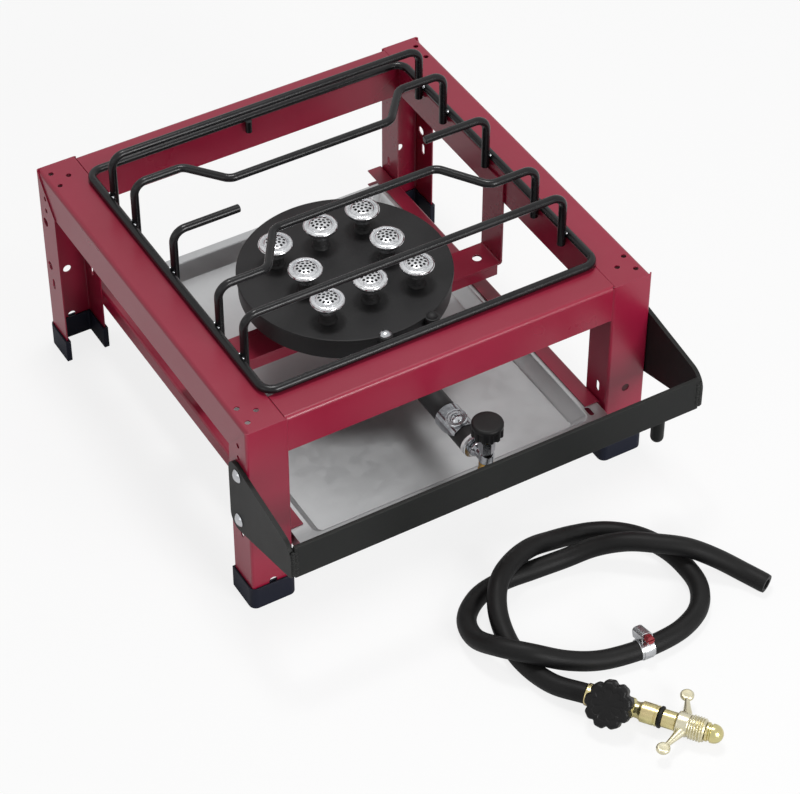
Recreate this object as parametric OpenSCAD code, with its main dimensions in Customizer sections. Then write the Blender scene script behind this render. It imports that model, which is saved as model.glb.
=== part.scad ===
// High-pressure gas burner: a square sheet-steel stand with a lift-off wire grate,
// a drum burner with eight perforated heads, a needle valve, a drip tray on runners,
// a front guard bar, and a loose hose kit with its clamp and cylinder regulator.
// Millimetres, +Z up, the front with the valve looks along -Y.

/* [Stand] */
// Outer width of the stand, left to right
stand_w = 400; // [380:5:440]
// Outer depth of the stand, front to back, without the guard bar
stand_d = 400; // [380:5:440]
// Height of the top rails above the floor
stand_h = 208; // [200:2:240]
// Sheet steel of rails, legs and runners
sheet_t = 1.2; // [1:0.1:2]
// Middle radius of every bend in the sheet steel
bend_r = 2; // [1.5:0.5:3]
// Width of the side rails on top
side_rail_w = 38.5; // [34:0.5:46]
// Width of the front and back rails on top
end_rail_w = 33; // [28:1:40]
// Height of the skirts that hang from the rails
skirt_h = 38; // [30:1:46]
// Diameter of the small holes in rails and legs
hole_d = 5; // [3:0.5:6]

/* [Legs and feet] */
// Width of a leg's web
leg_w = 40; // [36:1:46]
// Depth of a leg's two flanges
leg_d = 32; // [28:1:40]
// Width of the slots in the leg flanges
slot_w = 5; // [4:0.5:6]
// Length of the slots in the leg flanges
slot_l = 12; // [8:1:16]
// Distance of the slots below the rails
slot_drop = 126; // [122:1:132]
// Diameter of the hole low in each web
web_hole_d = 8; // [5:1:10]
// Height of a rubber foot
foot_h = 24; // [18:1:30]
// Rubber wall of a foot
foot_skin = 2; // [1.5:0.5:4]
// Rubber under the end of the leg
foot_floor = 3; // [2:0.5:6]

/* [Guard bar] */
// Distance of the bar's front face from the stand
guard_reach = 80; // [70:2:100]
// Height of the flat bar
guard_h = 35; // [25:1:45]
// Thickness of bar and arms
guard_t = 4; // [3:0.5:6]
// Distance of the bar's upper edge below the rails
guard_drop = 61; // [58:1:70]
// Distance of the upper arm bolt below the rails
bolt_high_drop = 56; // [54:1:60]
// Distance of the lower arm bolt below the rails
bolt_low_drop = 108; // [100:1:112]
// Radius of the arm's round ends at the bolts
arm_end_r = 12; // [10:0.5:13]
// Thread diameter of the arm bolts
bolt_d = 8; // [6:1:8]
// Diameter of the hanging peg
peg_d = 12; // [8:1:14]
// Length of the peg from the middle of the bar
peg_l = 48; // [36:2:60]
// Distance of the peg from the bar's right end
peg_in = 34; // [24:2:60]

/* [Tray and runners] */
// Distance of the runners' upper face below the rails
runner_drop = 140; // [138:1:144]
// Height of a runner
runner_h = 18; // [16:1:22]
// Width of a runner's flanges
runner_w = 13; // [11:1:15]
// Distance of the runners' front ends from the stand's front
runner_gap = 10; // [4:1:18]
// Sheet of the tray
tray_t = 0.8; // [0.6:0.1:1.2]
// Width of the tray's side lips
tray_lip = 17; // [15:1:20]
// Width of the tray's front and back lips
tray_end_lip = 9; // [6:1:12]
// How far the tray's walls lean outward
tray_lean = 9; // [4:1:12]
// Free space beside the tray in each runner
tray_side_play = 1.8; // [1:0.1:3]
// Free space above and below the tray's lip
tray_play = 0.3; // [0.2:0.05:0.6]
// Distance of the tray's back edge from the stand's back
tray_back_gap = 14; // [8:1:20]
// How far the tray's front stands out of the stand
tray_out = 14; // [8:1:20]

/* [Burner] */
// Place of the burner's middle, to the right of the stand's middle
burner_x = 4; // [-6:1:6]
// Place of the burner's middle, in front of the stand's middle
burner_front = 4; // [-6:1:10]
// Diameter of the lid
lid_d = 196; // [190:2:206]
// Thickness of the lid
lid_t = 4; // [3:0.5:6]
// Distance of the lid's upper face below the rails
lid_drop = 54; // [46:1:58]
// Height of the drum under the lid
drum_h = 20; // [18:1:26]
// Wall of the drum
drum_wall = 3; // [2:0.5:4]
// How far the lid stands out past the drum
lid_rim = 1.5; // [0.5:0.5:3]
// Outer diameter of the mixing tube
tube_d = 22; // [20:0.5:26]
// Wall of the mixing tube
tube_wall = 1.6; // [1.2:0.1:2.5]
// Diameter of the boss under the drum
boss_d = 40; // [36:1:48]
// Metal under the mixing tube in the boss
boss_floor = 3; // [2:0.5:5]
// Reach of the mixing tube in front of the stand
tube_reach = 22; // [16:1:26]
// Width of the bridge that carries the burner
bridge_w = 34; // [30:1:40]
// Steel of the bridge
bridge_t = 2; // [1.5:0.5:3]
// Height of the bridge's front and back flanges
bridge_flange = 13; // [10:1:18]
// Width of the bridge's feet under the side rails
bridge_foot = 18; // [12:1:24]
// Thread diameter of the bolt that holds the burner on the bridge
bridge_bolt_d = 6; // [5:0.5:7]
// Distance of the bridge's side holes from its strips
bridge_hole_in = 16; // [12:1:30]
// Diameter of the bridge's side holes
bridge_hole_d = 9; // [6:0.5:12]
// Thread diameter of the two lid bolts
lid_bolt_d = 6; // [5:0.5:8]
// Angle of the left lid bolt
lug_angle_left = -98; // [-110:1:-92]
// Angle of the right lid bolt
lug_angle_right = -70; // [-84:1:-60]
// How far inside the lid's edge the left lid bolt sits
lug_left_inset = 2; // [0:0.5:4]
// How far outside the lid's edge the right lid bolt sits
lug_right_reach = 3; // [0:0.5:5]
// Height of the drum's two screw bosses
lug_h = 9; // [6:1:14]

/* [Burner heads] */
// Spacing of the heads
head_pitch = 45; // [40:1:48]
// Diameter of a head
head_d = 32; // [28:0.5:36]
// Height of a head
head_h = 17; // [14:0.5:20]
// Height of a head's dome
dome_h = 7; // [5:0.5:9]
// Sheet of a head
head_t = 1.2; // [0.8:0.1:1.5]
// Diameter of the flame holes
flame_d = 2.6; // [1.6:0.1:3]
// Outer diameter of a stem
stem_d = 14; // [12:0.5:16]
// Bore of a stem
stem_bore = 8; // [6:0.5:9]
// Height of the stem between lid and head
stem_h = 10; // [8:0.5:14]

/* [Valve] */
// Reach of the valve's spindle in front of the stand
valve_reach = 47; // [45:1:52]
// Diameter of the valve's knob
knob_d = 28; // [24:1:32]
// Height of the valve's knob
knob_h = 15; // [12:0.5:20]
// Number of flutes round the valve's knob
knob_flutes = 12; // [8:1:16]
// Diameter of the valve's spindle
spindle_d = 6; // [5:0.5:7]
// Diameter of the valve's body
valve_d = 17; // [15:0.5:20]
// Width across the flats of the packing nut
nut_af = 14; // [12:0.5:17]
// Height of the packing nut
nut_h = 11; // [8:0.5:14]
// Length of the hose barb below its hexagon
barb_l = 26; // [20:1:34]
// Root diameter of the hose barb
barb_d = 8.8; // [8:0.1:9.4]
// Gap between a turning shaft and its hole, on the radius
run_fit = 0.05; // [0.03:0.01:0.1]
// Thickness of the air shutter
shutter_t = 1.5; // [1:0.1:2]
// Length of the air shutter
shutter_l = 30; // [26:1:34]

/* [Grate] */
// Diameter of the grate's wire
wire_d = 7.5; // [6:0.5:8]
// Height of the pan wires' middle above the rails
wire_rise = 55; // [45:1:65]
// Distance of the loop's side wires outside the opening's edge
loop_over = 2; // [1:0.5:4]
// Distance of the loop's end wires inside the opening's edge
loop_inset = 7; // [5:1:12]
// Middle radius of the grate's bends
wire_bend = 12; // [10:1:16]
// Distance of the outer pan wires from the middle
outer_wire_y = 120; // [112:1:128]
// Distance of the cranked wires' ends from the middle
crank_wire_y = 80; // [74:1:86]
// Distance of the cranked wires' middle stretches from the middle
crank_in_y = 43; // [38:1:50]
// Distance of the crank's inner corner from the middle
crank_in_x = 80; // [74:1:88]
// Distance of the short wires' free ends from the middle
finger_x = 95; // [85:1:105]
// Length of the locating peg under the back wire
grate_peg_l = 6; // [4:1:16]

/* [Hose kit] */
// Outer diameter of the hose
hose_d = 17.5; // [15:0.5:18]
// Width of the hose clamp's band
band_w = 13; // [9:0.5:15]
// Steel of the hose clamp's band
band_t = 0.8; // [0.6:0.1:1.2]
// Length of the clamp's screw
clamp_screw_l = 30; // [24:1:34]
// Diameter of the regulator's body
reg_d = 18; // [16:0.5:20]
// Diameter of the regulator's knob
reg_knob_d = 42; // [36:1:44]
// Height of the regulator's knob
reg_knob_h = 15; // [12:1:18]
// Number of scallops round the regulator's knob
reg_scallops = 9; // [7:1:12]
// How far the knob leans from upright
reg_knob_tilt = 49; // [40:1:52]
// Diameter of the stem that the wing nut turns on
reg_stem_d = 12; // [10:0.5:13]
// Diameter of the wing nut's thread
wing_thread_d = 21.5; // [20:0.5:23]
// Length of the wing nut's thread
wing_thread_l = 14; // [10:1:18]
// Reach of the wing nut's arms
wing_reach = 37; // [30:1:42]

/* [Hidden] */

wine = "#8c2840";
black = "#2b2b2d";
rubber = "#1d1f26";
zinc = "#a9abab";
chrome = "#cfd2d4";
brass = "#b89b55";
gold = "#cdbf86";

bend_steps = 4;
cut = 0.5;          // how far a cutting shape runs past the face it opens
face_gap = 0.3;     // free space between pieces that move or only rest

half_w = stand_w / 2;
half_d = stand_d / 2;
mid_y = (guard_reach - foot_skin) / 2;      // puts the origin under the middle of the whole
plate_x = half_w - sheet_t;
plate_y = half_d - sheet_t;
open_x = half_w - side_rail_w;
open_y = half_d - end_rail_w;
plate_z = stand_h - sheet_t / 2;

// Points of a path's one side, with each corner of the path bent to radius r
function unit(v) = v / norm(v);
function left_of(u) = [-u[1], u[0]];
function turned(v, a) = [v[0] * cos(a) - v[1] * sin(a), v[0] * sin(a) + v[1] * cos(a)];
function turn_angle(u, v) = atan2(u[0] * v[1] - u[1] * v[0], u * v);
function bend_points(p, u, v, r, off) =
    let (a = turn_angle(u, v), s = sign(a), back = r * tan(abs(a) / 2))
    let (c = p - u * back + s * r * left_of(u), arm = -s * (r - s * off) * left_of(u))
    [for (k = [0 : bend_steps]) c + turned(arm, a * k / bend_steps)];
function side_points(path, off, r) =
    let (n = len(path), dirs = [for (i = [0 : n - 2]) unit(path[i + 1] - path[i])])
    concat(
        [path[0] + off * left_of(dirs[0])],
        [for (i = [1 : n - 2]) each bend_points(path[i], dirs[i - 1], dirs[i], r, off)],
        [path[n - 1] + off * left_of(dirs[n - 2])]
    );
function reversed(list) = [for (i = [len(list) - 1 : -1 : 0]) list[i]];

// Flat outline of bent sheet of thickness t along a path
module ribbon(path, t, r) {
    polygon(concat(side_points(path, t / 2, r), reversed(side_points(path, -t / 2, r))));
}

// Everything on the stand is drawn about the stand's own middle
module on_stand() {
    translate([0, mid_y, 0]) children();
}

module to_corner(sx, sy) {
    on_stand() mirror([sx < 0 ? 1 : 0, 0, 0]) mirror([0, sy < 0 ? 1 : 0, 0]) children();
}

// Extrudes a front-view outline along Y, from y0 to y1
module along_y(y0, y1) {
    translate([0, y1, 0]) rotate([90, 0, 0]) linear_extrude(y1 - y0) children();
}

// Extrudes a side-view outline (drawn as y, z) along X, from x0 to x1
module along_x(x0, x1) {
    translate([x0, 0, 0]) rotate([90, 0, 90]) linear_extrude(x1 - x0) children();
}

// Round bar bent in steps, starting upwards: each step is [straight length, turn, roll before it]
bend_swell = 0.04;  // a bend is a touch thicker than the straights it joins
bend_sink = 0.05;   // how far the straights reach into it

module bent_bar(steps, d, r, i = 0) {
    step = steps[i];
    last = i == len(steps) - 1;
    start = i == 0 ? 0 : bend_sink;
    if (step[0] > 0) translate([0, 0, -start])
        cylinder(d = d, h = step[0] + start + (last ? 0 : bend_sink), $fn = 16);
    if (!last) translate([0, 0, step[0]]) rotate(step[2]) {
        translate([r, 0, 0]) rotate([90, 0, 180]) rotate_extrude(angle = step[1], $fn = 32)
            translate([r, 0]) circle(d = d + bend_swell, $fn = 16);
        translate([r, 0, 0]) rotate([0, step[1], 0]) translate([-r, 0, 0])
            bent_bar(steps, d, r, i + 1);
    }
}

// Top rails: a flat plate with a skirt bent down along its outer edge
rail_hole_in = 9;
rail_hole_end = 13;
rail_hole_pitch = 19;
rail_hole_side = 13;

module rail_profile(outer, inner) {
    ribbon([[inner, plate_z], [outer - sheet_t / 2, plate_z],
        [outer - sheet_t / 2, stand_h - skirt_h]], sheet_t, bend_r);
}

module side_rail(side) {
    near = half_d - rail_hole_end;
    edge = half_w - rail_hole_in;
    spots = [[edge, near], [edge, near - rail_hole_pitch],
        [edge - rail_hole_side, near - rail_hole_pitch / 2]];
    to_corner(side, 1) color(wine) difference() {
        along_y(-plate_y, plate_y) rail_profile(plate_x, open_x);
        for (end = [-1, 1], s = spots) translate([s[0], s[1] * end, stand_h - sheet_t - cut])
            cylinder(d = hole_d, h = sheet_t + 2 * cut, $fn = 24);
        // corners cut off, clear of the leg's bend
        for (end = [-1, 1]) translate([plate_x, plate_y * end, stand_h - skirt_h / 2]) rotate(45)
            cube([bend_r * sqrt(2), bend_r * sqrt(2), skirt_h + 2 * cut], center = true);
    }
}

module end_rail(side) {
    skirt_x = plate_x - bend_r;
    to_corner(1, side) color(wine) difference() {
        along_x(-skirt_x, skirt_x) rail_profile(plate_y, open_y);
        for (s = [-1, 1]) translate([s > 0 ? open_x : -plate_x - cut, open_y - cut, stand_h - sheet_t - bend_r])
            cube([plate_x - open_x + cut, end_rail_w + 2 * cut, sheet_t + bend_r + cut]);
    }
}

module top_rail_left() side_rail(-1);
module top_rail_right() side_rail(1);
module top_rail_front() end_rail(-1);
module top_rail_back() end_rail(1);

// Legs: bent channels that wrap the corners of the rails, web to the front or back
hole_high_drop = 24;
hole_low_drop = 38;
bolt_in = 15;        // bolts and holes lie this far from the web's outer face
web_hole_in = 20;
runner_x = half_w - leg_w;

function leg_path(extra) = [
    [half_w - leg_w + sheet_t / 2, half_d - leg_d - extra],
    [half_w - leg_w + sheet_t / 2, half_d - sheet_t / 2],
    [half_w - sheet_t / 2, half_d - sheet_t / 2],
    [half_w - sheet_t / 2, half_d - leg_d - extra]
];

module flange_hole(x, drop, d) {
    translate([x - sheet_t - cut, half_d - bolt_in, stand_h - drop]) rotate([0, 90, 0])
        cylinder(d = d, h = sheet_t + 2 * cut, $fn = 32);
}

module flange_slot(x, drop) {
    for (dz = [-1, 1]) flange_hole(x, drop + dz * (slot_l - slot_w) / 2, slot_w);
    translate([x - sheet_t - cut, half_d - bolt_in - slot_w / 2, stand_h - drop - (slot_l - slot_w) / 2])
        cube([sheet_t + 2 * cut, slot_w, slot_l - slot_w]);
}

module leg(sx, sy) {
    to_corner(sx, sy) color(wine) difference() {
        translate([0, 0, foot_floor]) linear_extrude(stand_h - foot_floor)
            ribbon(leg_path(0), sheet_t, bend_r);
        flange_hole(half_w, hole_high_drop, hole_d);
        flange_hole(half_w, hole_low_drop, hole_d);
        flange_hole(half_w, bolt_high_drop, bolt_d + 1);
        flange_hole(half_w, bolt_low_drop, bolt_d + 1);
        flange_slot(half_w, slot_drop);
        flange_slot(runner_x + sheet_t, slot_drop);
        translate([half_w - web_hole_in, half_d + cut, stand_h - slot_drop]) rotate([90, 0, 0])
            cylinder(d = web_hole_d, h = sheet_t + 2 * cut, $fn = 32);
        // the inner flange stops under the end rail's skirt
        translate([runner_x - cut, half_d - leg_d - cut, stand_h - skirt_h])
            cube([sheet_t + bend_r + cut, leg_d - sheet_t + cut, skirt_h + cut]);
    }
}

module leg_front_left() leg(-1, -1);
module leg_front_right() leg(1, -1);
module leg_back_left() leg(-1, 1);
module leg_back_right() leg(1, 1);

// Feet: rubber shoes with a slot that follows the leg's section
foot_fit = 0.05;

module foot(sx, sy) {
    to_corner(sx, sy) color(rubber) difference() {
        linear_extrude(foot_h)
            ribbon(leg_path(foot_skin), sheet_t + 2 * foot_skin, bend_r + foot_skin);
        translate([0, 0, foot_floor]) linear_extrude(foot_h)
            ribbon(leg_path(foot_fit), sheet_t + 2 * foot_fit, bend_r);
    }
}

module foot_front_left() foot(-1, -1);
module foot_front_right() foot(1, -1);
module foot_back_left() foot(-1, 1);
module foot_back_right() foot(1, 1);

// Runners: channels on the legs' inner flanges, open towards the tray
runner_z = stand_h - runner_drop;

module tray_runner(side) {
    to_corner(side, 1) color(wine) along_y(runner_gap - half_d, plate_y) ribbon([
        [runner_x - runner_w, runner_z - sheet_t / 2],
        [runner_x - sheet_t / 2, runner_z - sheet_t / 2],
        [runner_x - sheet_t / 2, runner_z - runner_h + sheet_t / 2],
        [runner_x - runner_w, runner_z - runner_h + sheet_t / 2]
    ], sheet_t, bend_r);
}

module tray_runner_left() tray_runner(-1);
module tray_runner_right() tray_runner(1);

// Bridge: a hanger under the side rails that carries the burner
bridge_z = stand_h - lid_drop - lid_t - drum_h - tube_d - boss_floor;     // upper face of its floor
bridge_x = open_x + bridge_t;                                // outer face of its strips
boss_z = bridge_z;
socket_past = 2;                             // the tube's socket runs this far past the middle
bolt_back = socket_past + 2 + bridge_bolt_d / 2;   // centre bolt behind the socket

module burner_bridge() {
    floor_z = bridge_z - bridge_t / 2;
    foot_z = stand_h - sheet_t - bridge_t / 2;
    wall_x = bridge_x - bridge_t / 2;
    on_stand() translate([0, -burner_front, 0]) color(wine) difference() {
        union() {
            along_y(-bridge_w / 2, bridge_w / 2) ribbon([
                [-bridge_x - bridge_foot, foot_z], [-wall_x, foot_z], [-wall_x, floor_z],
                [wall_x, floor_z], [wall_x, foot_z], [bridge_x + bridge_foot, foot_z]
            ], bridge_t, bend_r);
            along_x(-wall_x + 2 * bend_r, wall_x - 2 * bend_r) ribbon([
                [-bridge_w / 2 + bridge_t / 2, bridge_z - bridge_flange],
                [-bridge_w / 2 + bridge_t / 2, floor_z],
                [bridge_w / 2 - bridge_t / 2, floor_z],
                [bridge_w / 2 - bridge_t / 2, bridge_z - bridge_flange]
            ], bridge_t, bend_r);
        }
        for (x = [-wall_x + bridge_hole_in, wall_x - bridge_hole_in])
            translate([x, 0, bridge_z - bridge_t - cut])
                cylinder(d = bridge_hole_d, h = bridge_t + 2 * cut, $fn = 32);
        translate([burner_x, bolt_back, bridge_z - bridge_t - cut])
            cylinder(d = bridge_bolt_d + 1, h = bridge_t + 2 * cut, $fn = 32);
    }
}

// Guard: a flat bar welded between two arms, which are bolted outside the front legs
bar_top = stand_h - guard_drop;
bar_y = -half_d - guard_reach;       // front face of the bar
bolt_y = -half_d + bolt_in;
arm_nose_r = 18;
arm_nose_drop = 14;     // the nose's middle lies this far under the bar's top
arm_toe_r = 4;

module guard_bar() {
    on_stand() color(black) translate([-half_w, bar_y, bar_top - guard_h])
        cube([stand_w, guard_t, guard_h]);
}

module guard_arm(side) {
    to_corner(side, 1) color(black) difference() {
        along_x(half_w, half_w + guard_t) hull() {
            for (drop = [bolt_high_drop, bolt_low_drop])
                translate([bolt_y, stand_h - drop]) circle(r = arm_end_r, $fn = 32);
            translate([bar_y + arm_nose_r, bar_top - arm_nose_drop]) circle(r = arm_nose_r, $fn = 48);
            translate([bar_y + arm_toe_r, bar_top - guard_h + arm_toe_r])
                circle(r = arm_toe_r, $fn = 32);
        }
        for (drop = [bolt_high_drop, bolt_low_drop])
            translate([half_w - cut, bolt_y, stand_h - drop]) rotate([0, 90, 0])
                cylinder(d = bolt_d + 1, h = guard_t + 2 * cut, $fn = 32);
    }
}

module guard_arm_left() guard_arm(-1);
module guard_arm_right() guard_arm(1);

module guard_peg() {
    on_stand() color(black) translate([half_w - peg_in, bar_y + guard_t + peg_d / 2, bar_top - guard_h / 2]) {
        translate([0, 0, peg_d / 2 - peg_l]) cylinder(d = peg_d, h = peg_l - peg_d / 2, $fn = 32);
        translate([0, 0, peg_d / 2 - peg_l]) sphere(d = peg_d, $fn = 32);
    }
}

bolt_head_d = 1.55 * bolt_d;
bolt_head_h = 0.45 * bolt_d;
bolt_nut_h = 0.8 * bolt_d;
bolt_tail = 2;

// Points of a dome's edge, from its rim to its top, for a revolved outline
function dome_points(r, h, z, n = 6) =
    let (R = (r * r + h * h) / (2 * h), a = asin(r / R))
    [for (k = [0 : n]) [R * sin(a * (1 - k / n)), z + h - R + R * cos(a * (1 - k / n))]];

module guard_bolts() {
    shank = guard_t + sheet_t + bolt_nut_h + bolt_tail;
    for (side = [-1, 1], drop = [bolt_high_drop, bolt_low_drop])
        to_corner(side, 1) color(chrome) translate([half_w + guard_t, bolt_y, stand_h - drop])
            rotate([0, 90, 0]) rotate_extrude($fn = 32)
                polygon(concat([[0, -shank], [bolt_d / 2, -shank], [bolt_d / 2, 0],
                    [bolt_head_d / 2, 0]], dome_points(bolt_head_d / 2, bolt_head_h, 0)));
}

module hex_nut(af, h, bore) {
    difference() {
        rotate(30) cylinder(d = af / cos(30), h = h, $fn = 6);
        translate([0, 0, -cut]) cylinder(d = bore, h = h + 2 * cut, $fn = 32);
    }
}

module guard_nuts() {
    for (side = [-1, 1], drop = [bolt_high_drop, bolt_low_drop])
        to_corner(side, 1) color(chrome)
            translate([half_w - sheet_t - bolt_nut_h, bolt_y, stand_h - drop]) rotate([0, 90, 0])
                hex_nut(1.6 * bolt_d, bolt_nut_h, bolt_d + 2 * run_fit);
}

// Burner: a shallow drum with a boss below, closed by a lid that carries the heads
lid_z = stand_h - lid_drop - lid_t;          // lower face of the lid
drum_z = lid_z - drum_h;                     // lower face of the drum
drum_r = lid_d / 2 - lid_rim;
tube_z = drum_z - tube_d / 2;                // middle of the mixing tube
tube_bore = tube_d - 2 * tube_wall;
lug_r = 1.15 * lid_bolt_d;
lug_drop = 0.5;                              // the lid bears on the drum's rim, not on the lugs
lug_spots = [[lug_angle_left, lid_d / 2 - lug_left_inset], [lug_angle_right, lid_d / 2 + lug_right_reach]];
head_spots = [for (i = [-1 : 1], j = [-1 : 1]) if (i != 0 || j != 0) [i * head_pitch, j * head_pitch]];
screw_h = 8;                                 // depth of the centre bolt in the boss

module on_burner() {
    on_stand() translate([burner_x, -burner_front, 0]) children();
}

module lugs(z, h) {
    for (spot = lug_spots) rotate(spot[0]) translate([spot[1], 0, z])
        cylinder(r = lug_r, h = h, $fn = 32);
}

module lug_holes(z, h) {
    for (spot = lug_spots) rotate(spot[0]) translate([spot[1], 0, z])
        cylinder(d = lid_bolt_d + 2 * run_fit, h = h, $fn = 32);
}

module burner_drum() {
    inner_r = drum_r - drum_wall;
    on_burner() color(black) difference() {
        union() {
            difference() {
                translate([0, 0, drum_z]) cylinder(r = drum_r, h = drum_h, $fn = 96);
                translate([0, 0, drum_z + drum_wall]) cylinder(r = inner_r, h = drum_h, $fn = 96);
            }
            translate([0, 0, boss_z])
                cylinder(d = boss_d, h = drum_z - boss_z + drum_wall, $fn = 48);
            lugs(lid_z - lug_h, lug_h - lug_drop);
        }
        translate([0, 0, tube_z]) cylinder(d = tube_bore, h = tube_d, $fn = 32);
        translate([0, -boss_d / 2 - cut, tube_z]) rotate([-90, 0, 0])
            cylinder(d = tube_d + 2 * run_fit, h = boss_d / 2 + cut + socket_past, $fn = 32);
        translate([0, bolt_back, boss_z - cut])
            cylinder(d = bridge_bolt_d + 2 * run_fit, h = screw_h + cut, $fn = 32);
        lug_holes(lid_z - lug_h + drum_wall, lug_h);
    }
}

module burner_lid() {
    on_burner() color(black) difference() {
        union() {
            translate([0, 0, lid_z]) rotate_extrude($fn = 96) polygon([[0, 0], [lid_d / 2, 0],
                [lid_d / 2, lid_t - 1], [lid_d / 2 - 1, lid_t], [0, lid_t]]);
            lugs(lid_z, lid_t);
        }
        for (p = head_spots) translate([p[0], p[1], lid_z - cut])
            cylinder(d = stem_d - 2, h = lid_t + 2 * cut, $fn = 32);
        lug_holes(lid_z - cut, lid_t + 2 * cut);
    }
}

module lid_bolts() {
    head_h = 0.5 * lid_bolt_d;
    shank = lid_t + lug_h - drum_wall - cut;
    for (spot = lug_spots) on_burner() rotate(spot[0])
        color(chrome) translate([spot[1], 0, lid_z + lid_t])
            rotate_extrude($fn = 32) polygon(concat([[0, -shank], [lid_bolt_d / 2, -shank],
                [lid_bolt_d / 2, 0], [0.9 * lid_bolt_d, 0]], dome_points(0.9 * lid_bolt_d, head_h, 0)));
}

module bridge_bolt() {
    head_h = 0.65 * bridge_bolt_d;
    on_burner() color(chrome) translate([0, bolt_back, bridge_z - bridge_t]) {
        translate([0, 0, -head_h]) rotate(30) cylinder(d = 1.9 * bridge_bolt_d, h = head_h, $fn = 6);
        translate([0, 0, -head_h / 2])
            cylinder(d = bridge_bolt_d, h = head_h / 2 + bridge_t + screw_h - 1, $fn = 32);
    }
}

// Stems: threaded nipples that screw into the lid and carry the heads
thread_pitch = 2;

function thread_points(r, z0, z1, depth) =
    let (n = floor((z1 - z0) / thread_pitch), step = (z1 - z0) / n)
    [for (k = [0 : n - 1], t = [[0, 0], [0.5, 1]])
        [r - depth * (1 - t[1]), z0 + (k + t[0]) * step]];

module head_stems() {
    spigot = 6;
    for (p = head_spots) on_burner() color(black)
        translate([p[0], p[1], lid_z]) rotate_extrude($fn = 32) polygon(concat(
            [[stem_bore / 2, 0], [stem_d / 2 - 1 - run_fit, 0], [stem_d / 2 - 1 - run_fit, lid_t]],
            thread_points(stem_d / 2, lid_t, lid_t + stem_h, 0.8),
            [[stem_d / 2 - 0.8, lid_t + stem_h], [stem_d / 2 - 1.5, lid_t + stem_h],
            [stem_d / 2 - 1.5, lid_t + stem_h + spigot], [stem_bore / 2, lid_t + stem_h + spigot]]));
}

// Heads: hollow mushroom caps with rings of flame holes through the dome
flame_rings = [[0, 1], [0.42, 6], [0.76, 12]];

module burner_head() {
    r = head_d / 2;
    bore = stem_d / 2 - 1.5 + run_fit;
    neck_r = stem_d / 2 + 1;
    cone_h = head_h - dome_h;
    neck_h = 0.4 * cone_h;
    dome_R = (r * r + dome_h * dome_h) / (2 * dome_h);
    edge_a = asin(r / dome_R);
    difference() {
        intersection() {
            translate([0, 0, head_h - dome_R]) sphere(r = dome_R, $fn = 96);
            rotate_extrude($fn = 48) polygon([[bore, 0], [neck_r, 0], [neck_r, neck_h],
                [r, cone_h], [r, head_h], [0, head_h], [0, neck_h], [bore, neck_h]]);
        }
        intersection() {
            translate([0, 0, head_h - dome_R]) sphere(r = dome_R - head_t, $fn = 96);
            rotate_extrude($fn = 48) polygon([[0, neck_h + head_t], [neck_r, neck_h + head_t],
                [r - head_t, cone_h - head_t / 2], [r - head_t, head_h], [0, head_h]]);
        }
        for (ring = flame_rings, k = [0 : ring[1] - 1])
            rotate(k * 360 / ring[1]) translate([0, 0, head_h - dome_R]) rotate([0, ring[0] * edge_a, 0])
                translate([0, 0, dome_R - 2 * head_t]) cylinder(d = flame_d, h = 4 * head_t, $fn = 16);
    }
}

module burner_heads() {
    for (p = head_spots) on_burner() color(chrome)
        translate([p[0], p[1], lid_z + lid_t + stem_h]) burner_head();
}

// Mixing tube: from the boss under the drum to the jet in front of the stand
tube_end = -half_d - tube_reach + burner_front;       // front end, from the burner's middle
air_slot_w = 9;
air_slot_l = 16;
shutter_mid = tube_end + shutter_l / 2 + 4;

module from_front(y) {
    on_burner() translate([0, y, tube_z]) rotate([-90, 0, 0]) children();
}

module mixing_tube() {
    color(black) difference() {
        from_front(tube_end) difference() {
            cylinder(d = tube_d, h = -tube_end - tube_bore / 2, $fn = 48);
            translate([0, 0, -cut]) cylinder(d = tube_bore, h = -tube_end, $fn = 48);
        }
        for (a = [-60, 120]) from_front(shutter_mid) rotate(a)
            translate([-tube_d, -air_slot_w / 2, -air_slot_l / 2]) cube([tube_d, air_slot_w, air_slot_l]);
    }
}

// Air shutter: an open sleeve that turns on the tube over its air slots
shutter_bore = tube_d / 2 + run_fit;
shutter_open = 100;          // missing part of the sleeve, degrees

module air_shutter() {
    r = shutter_bore + shutter_t;
    from_front(shutter_mid - shutter_l / 2) color(chrome) difference() {
        rotate(90 + shutter_open - 45) rotate_extrude(angle = 360 - shutter_open, $fn = 64)
            translate([shutter_bore, 0]) square([shutter_t, shutter_l]);
        translate([0, 0, shutter_l / 2]) rotate([90, 0, 0]) cylinder(d = 4 + 2 * run_fit, h = r + cut, $fn = 24);
    }
}

module shutter_screw() {
    r = shutter_bore + shutter_t;
    shank = shutter_t;
    from_front(shutter_mid) color(chrome) rotate([90, 0, 0]) translate([0, 0, r])
        rotate_extrude($fn = 32) polygon(concat([[0, -shank], [2, -shank], [2, 0], [4.5, 0],
            [4.5, 1]], dome_points(4.5, 2.5, 1)));
}

// Valve: jet, body, packing nut, spindle, knob and hose barb
valve_y = -half_d - valve_reach + burner_front;
jet_flange_t = 2;
jet_neck = 6;
body_top = tube_z + 11;
body_base = tube_z - 6;
nut_top = body_top + nut_h;
knob_z = nut_top + 8;
barb_hex_h = 8;

module gas_jet() {
    flange_d = tube_d - 2;
    from_front(tube_end) color(chrome) difference() {
        rotate_extrude($fn = 48) polygon([
            [1, -jet_neck], [flange_d / 2, -jet_neck], [flange_d / 2, -jet_neck + jet_flange_t],
            [6, -jet_neck + jet_flange_t], [6, -0.01], [tube_bore / 2 + 1, -0.01],
            [tube_bore / 2 + 1, 0], [tube_bore / 2 - run_fit, 0],
            [tube_bore / 2 - run_fit, 6], [4, 6], [2.5, 20], [1, 20]]);
    }
}

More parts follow.
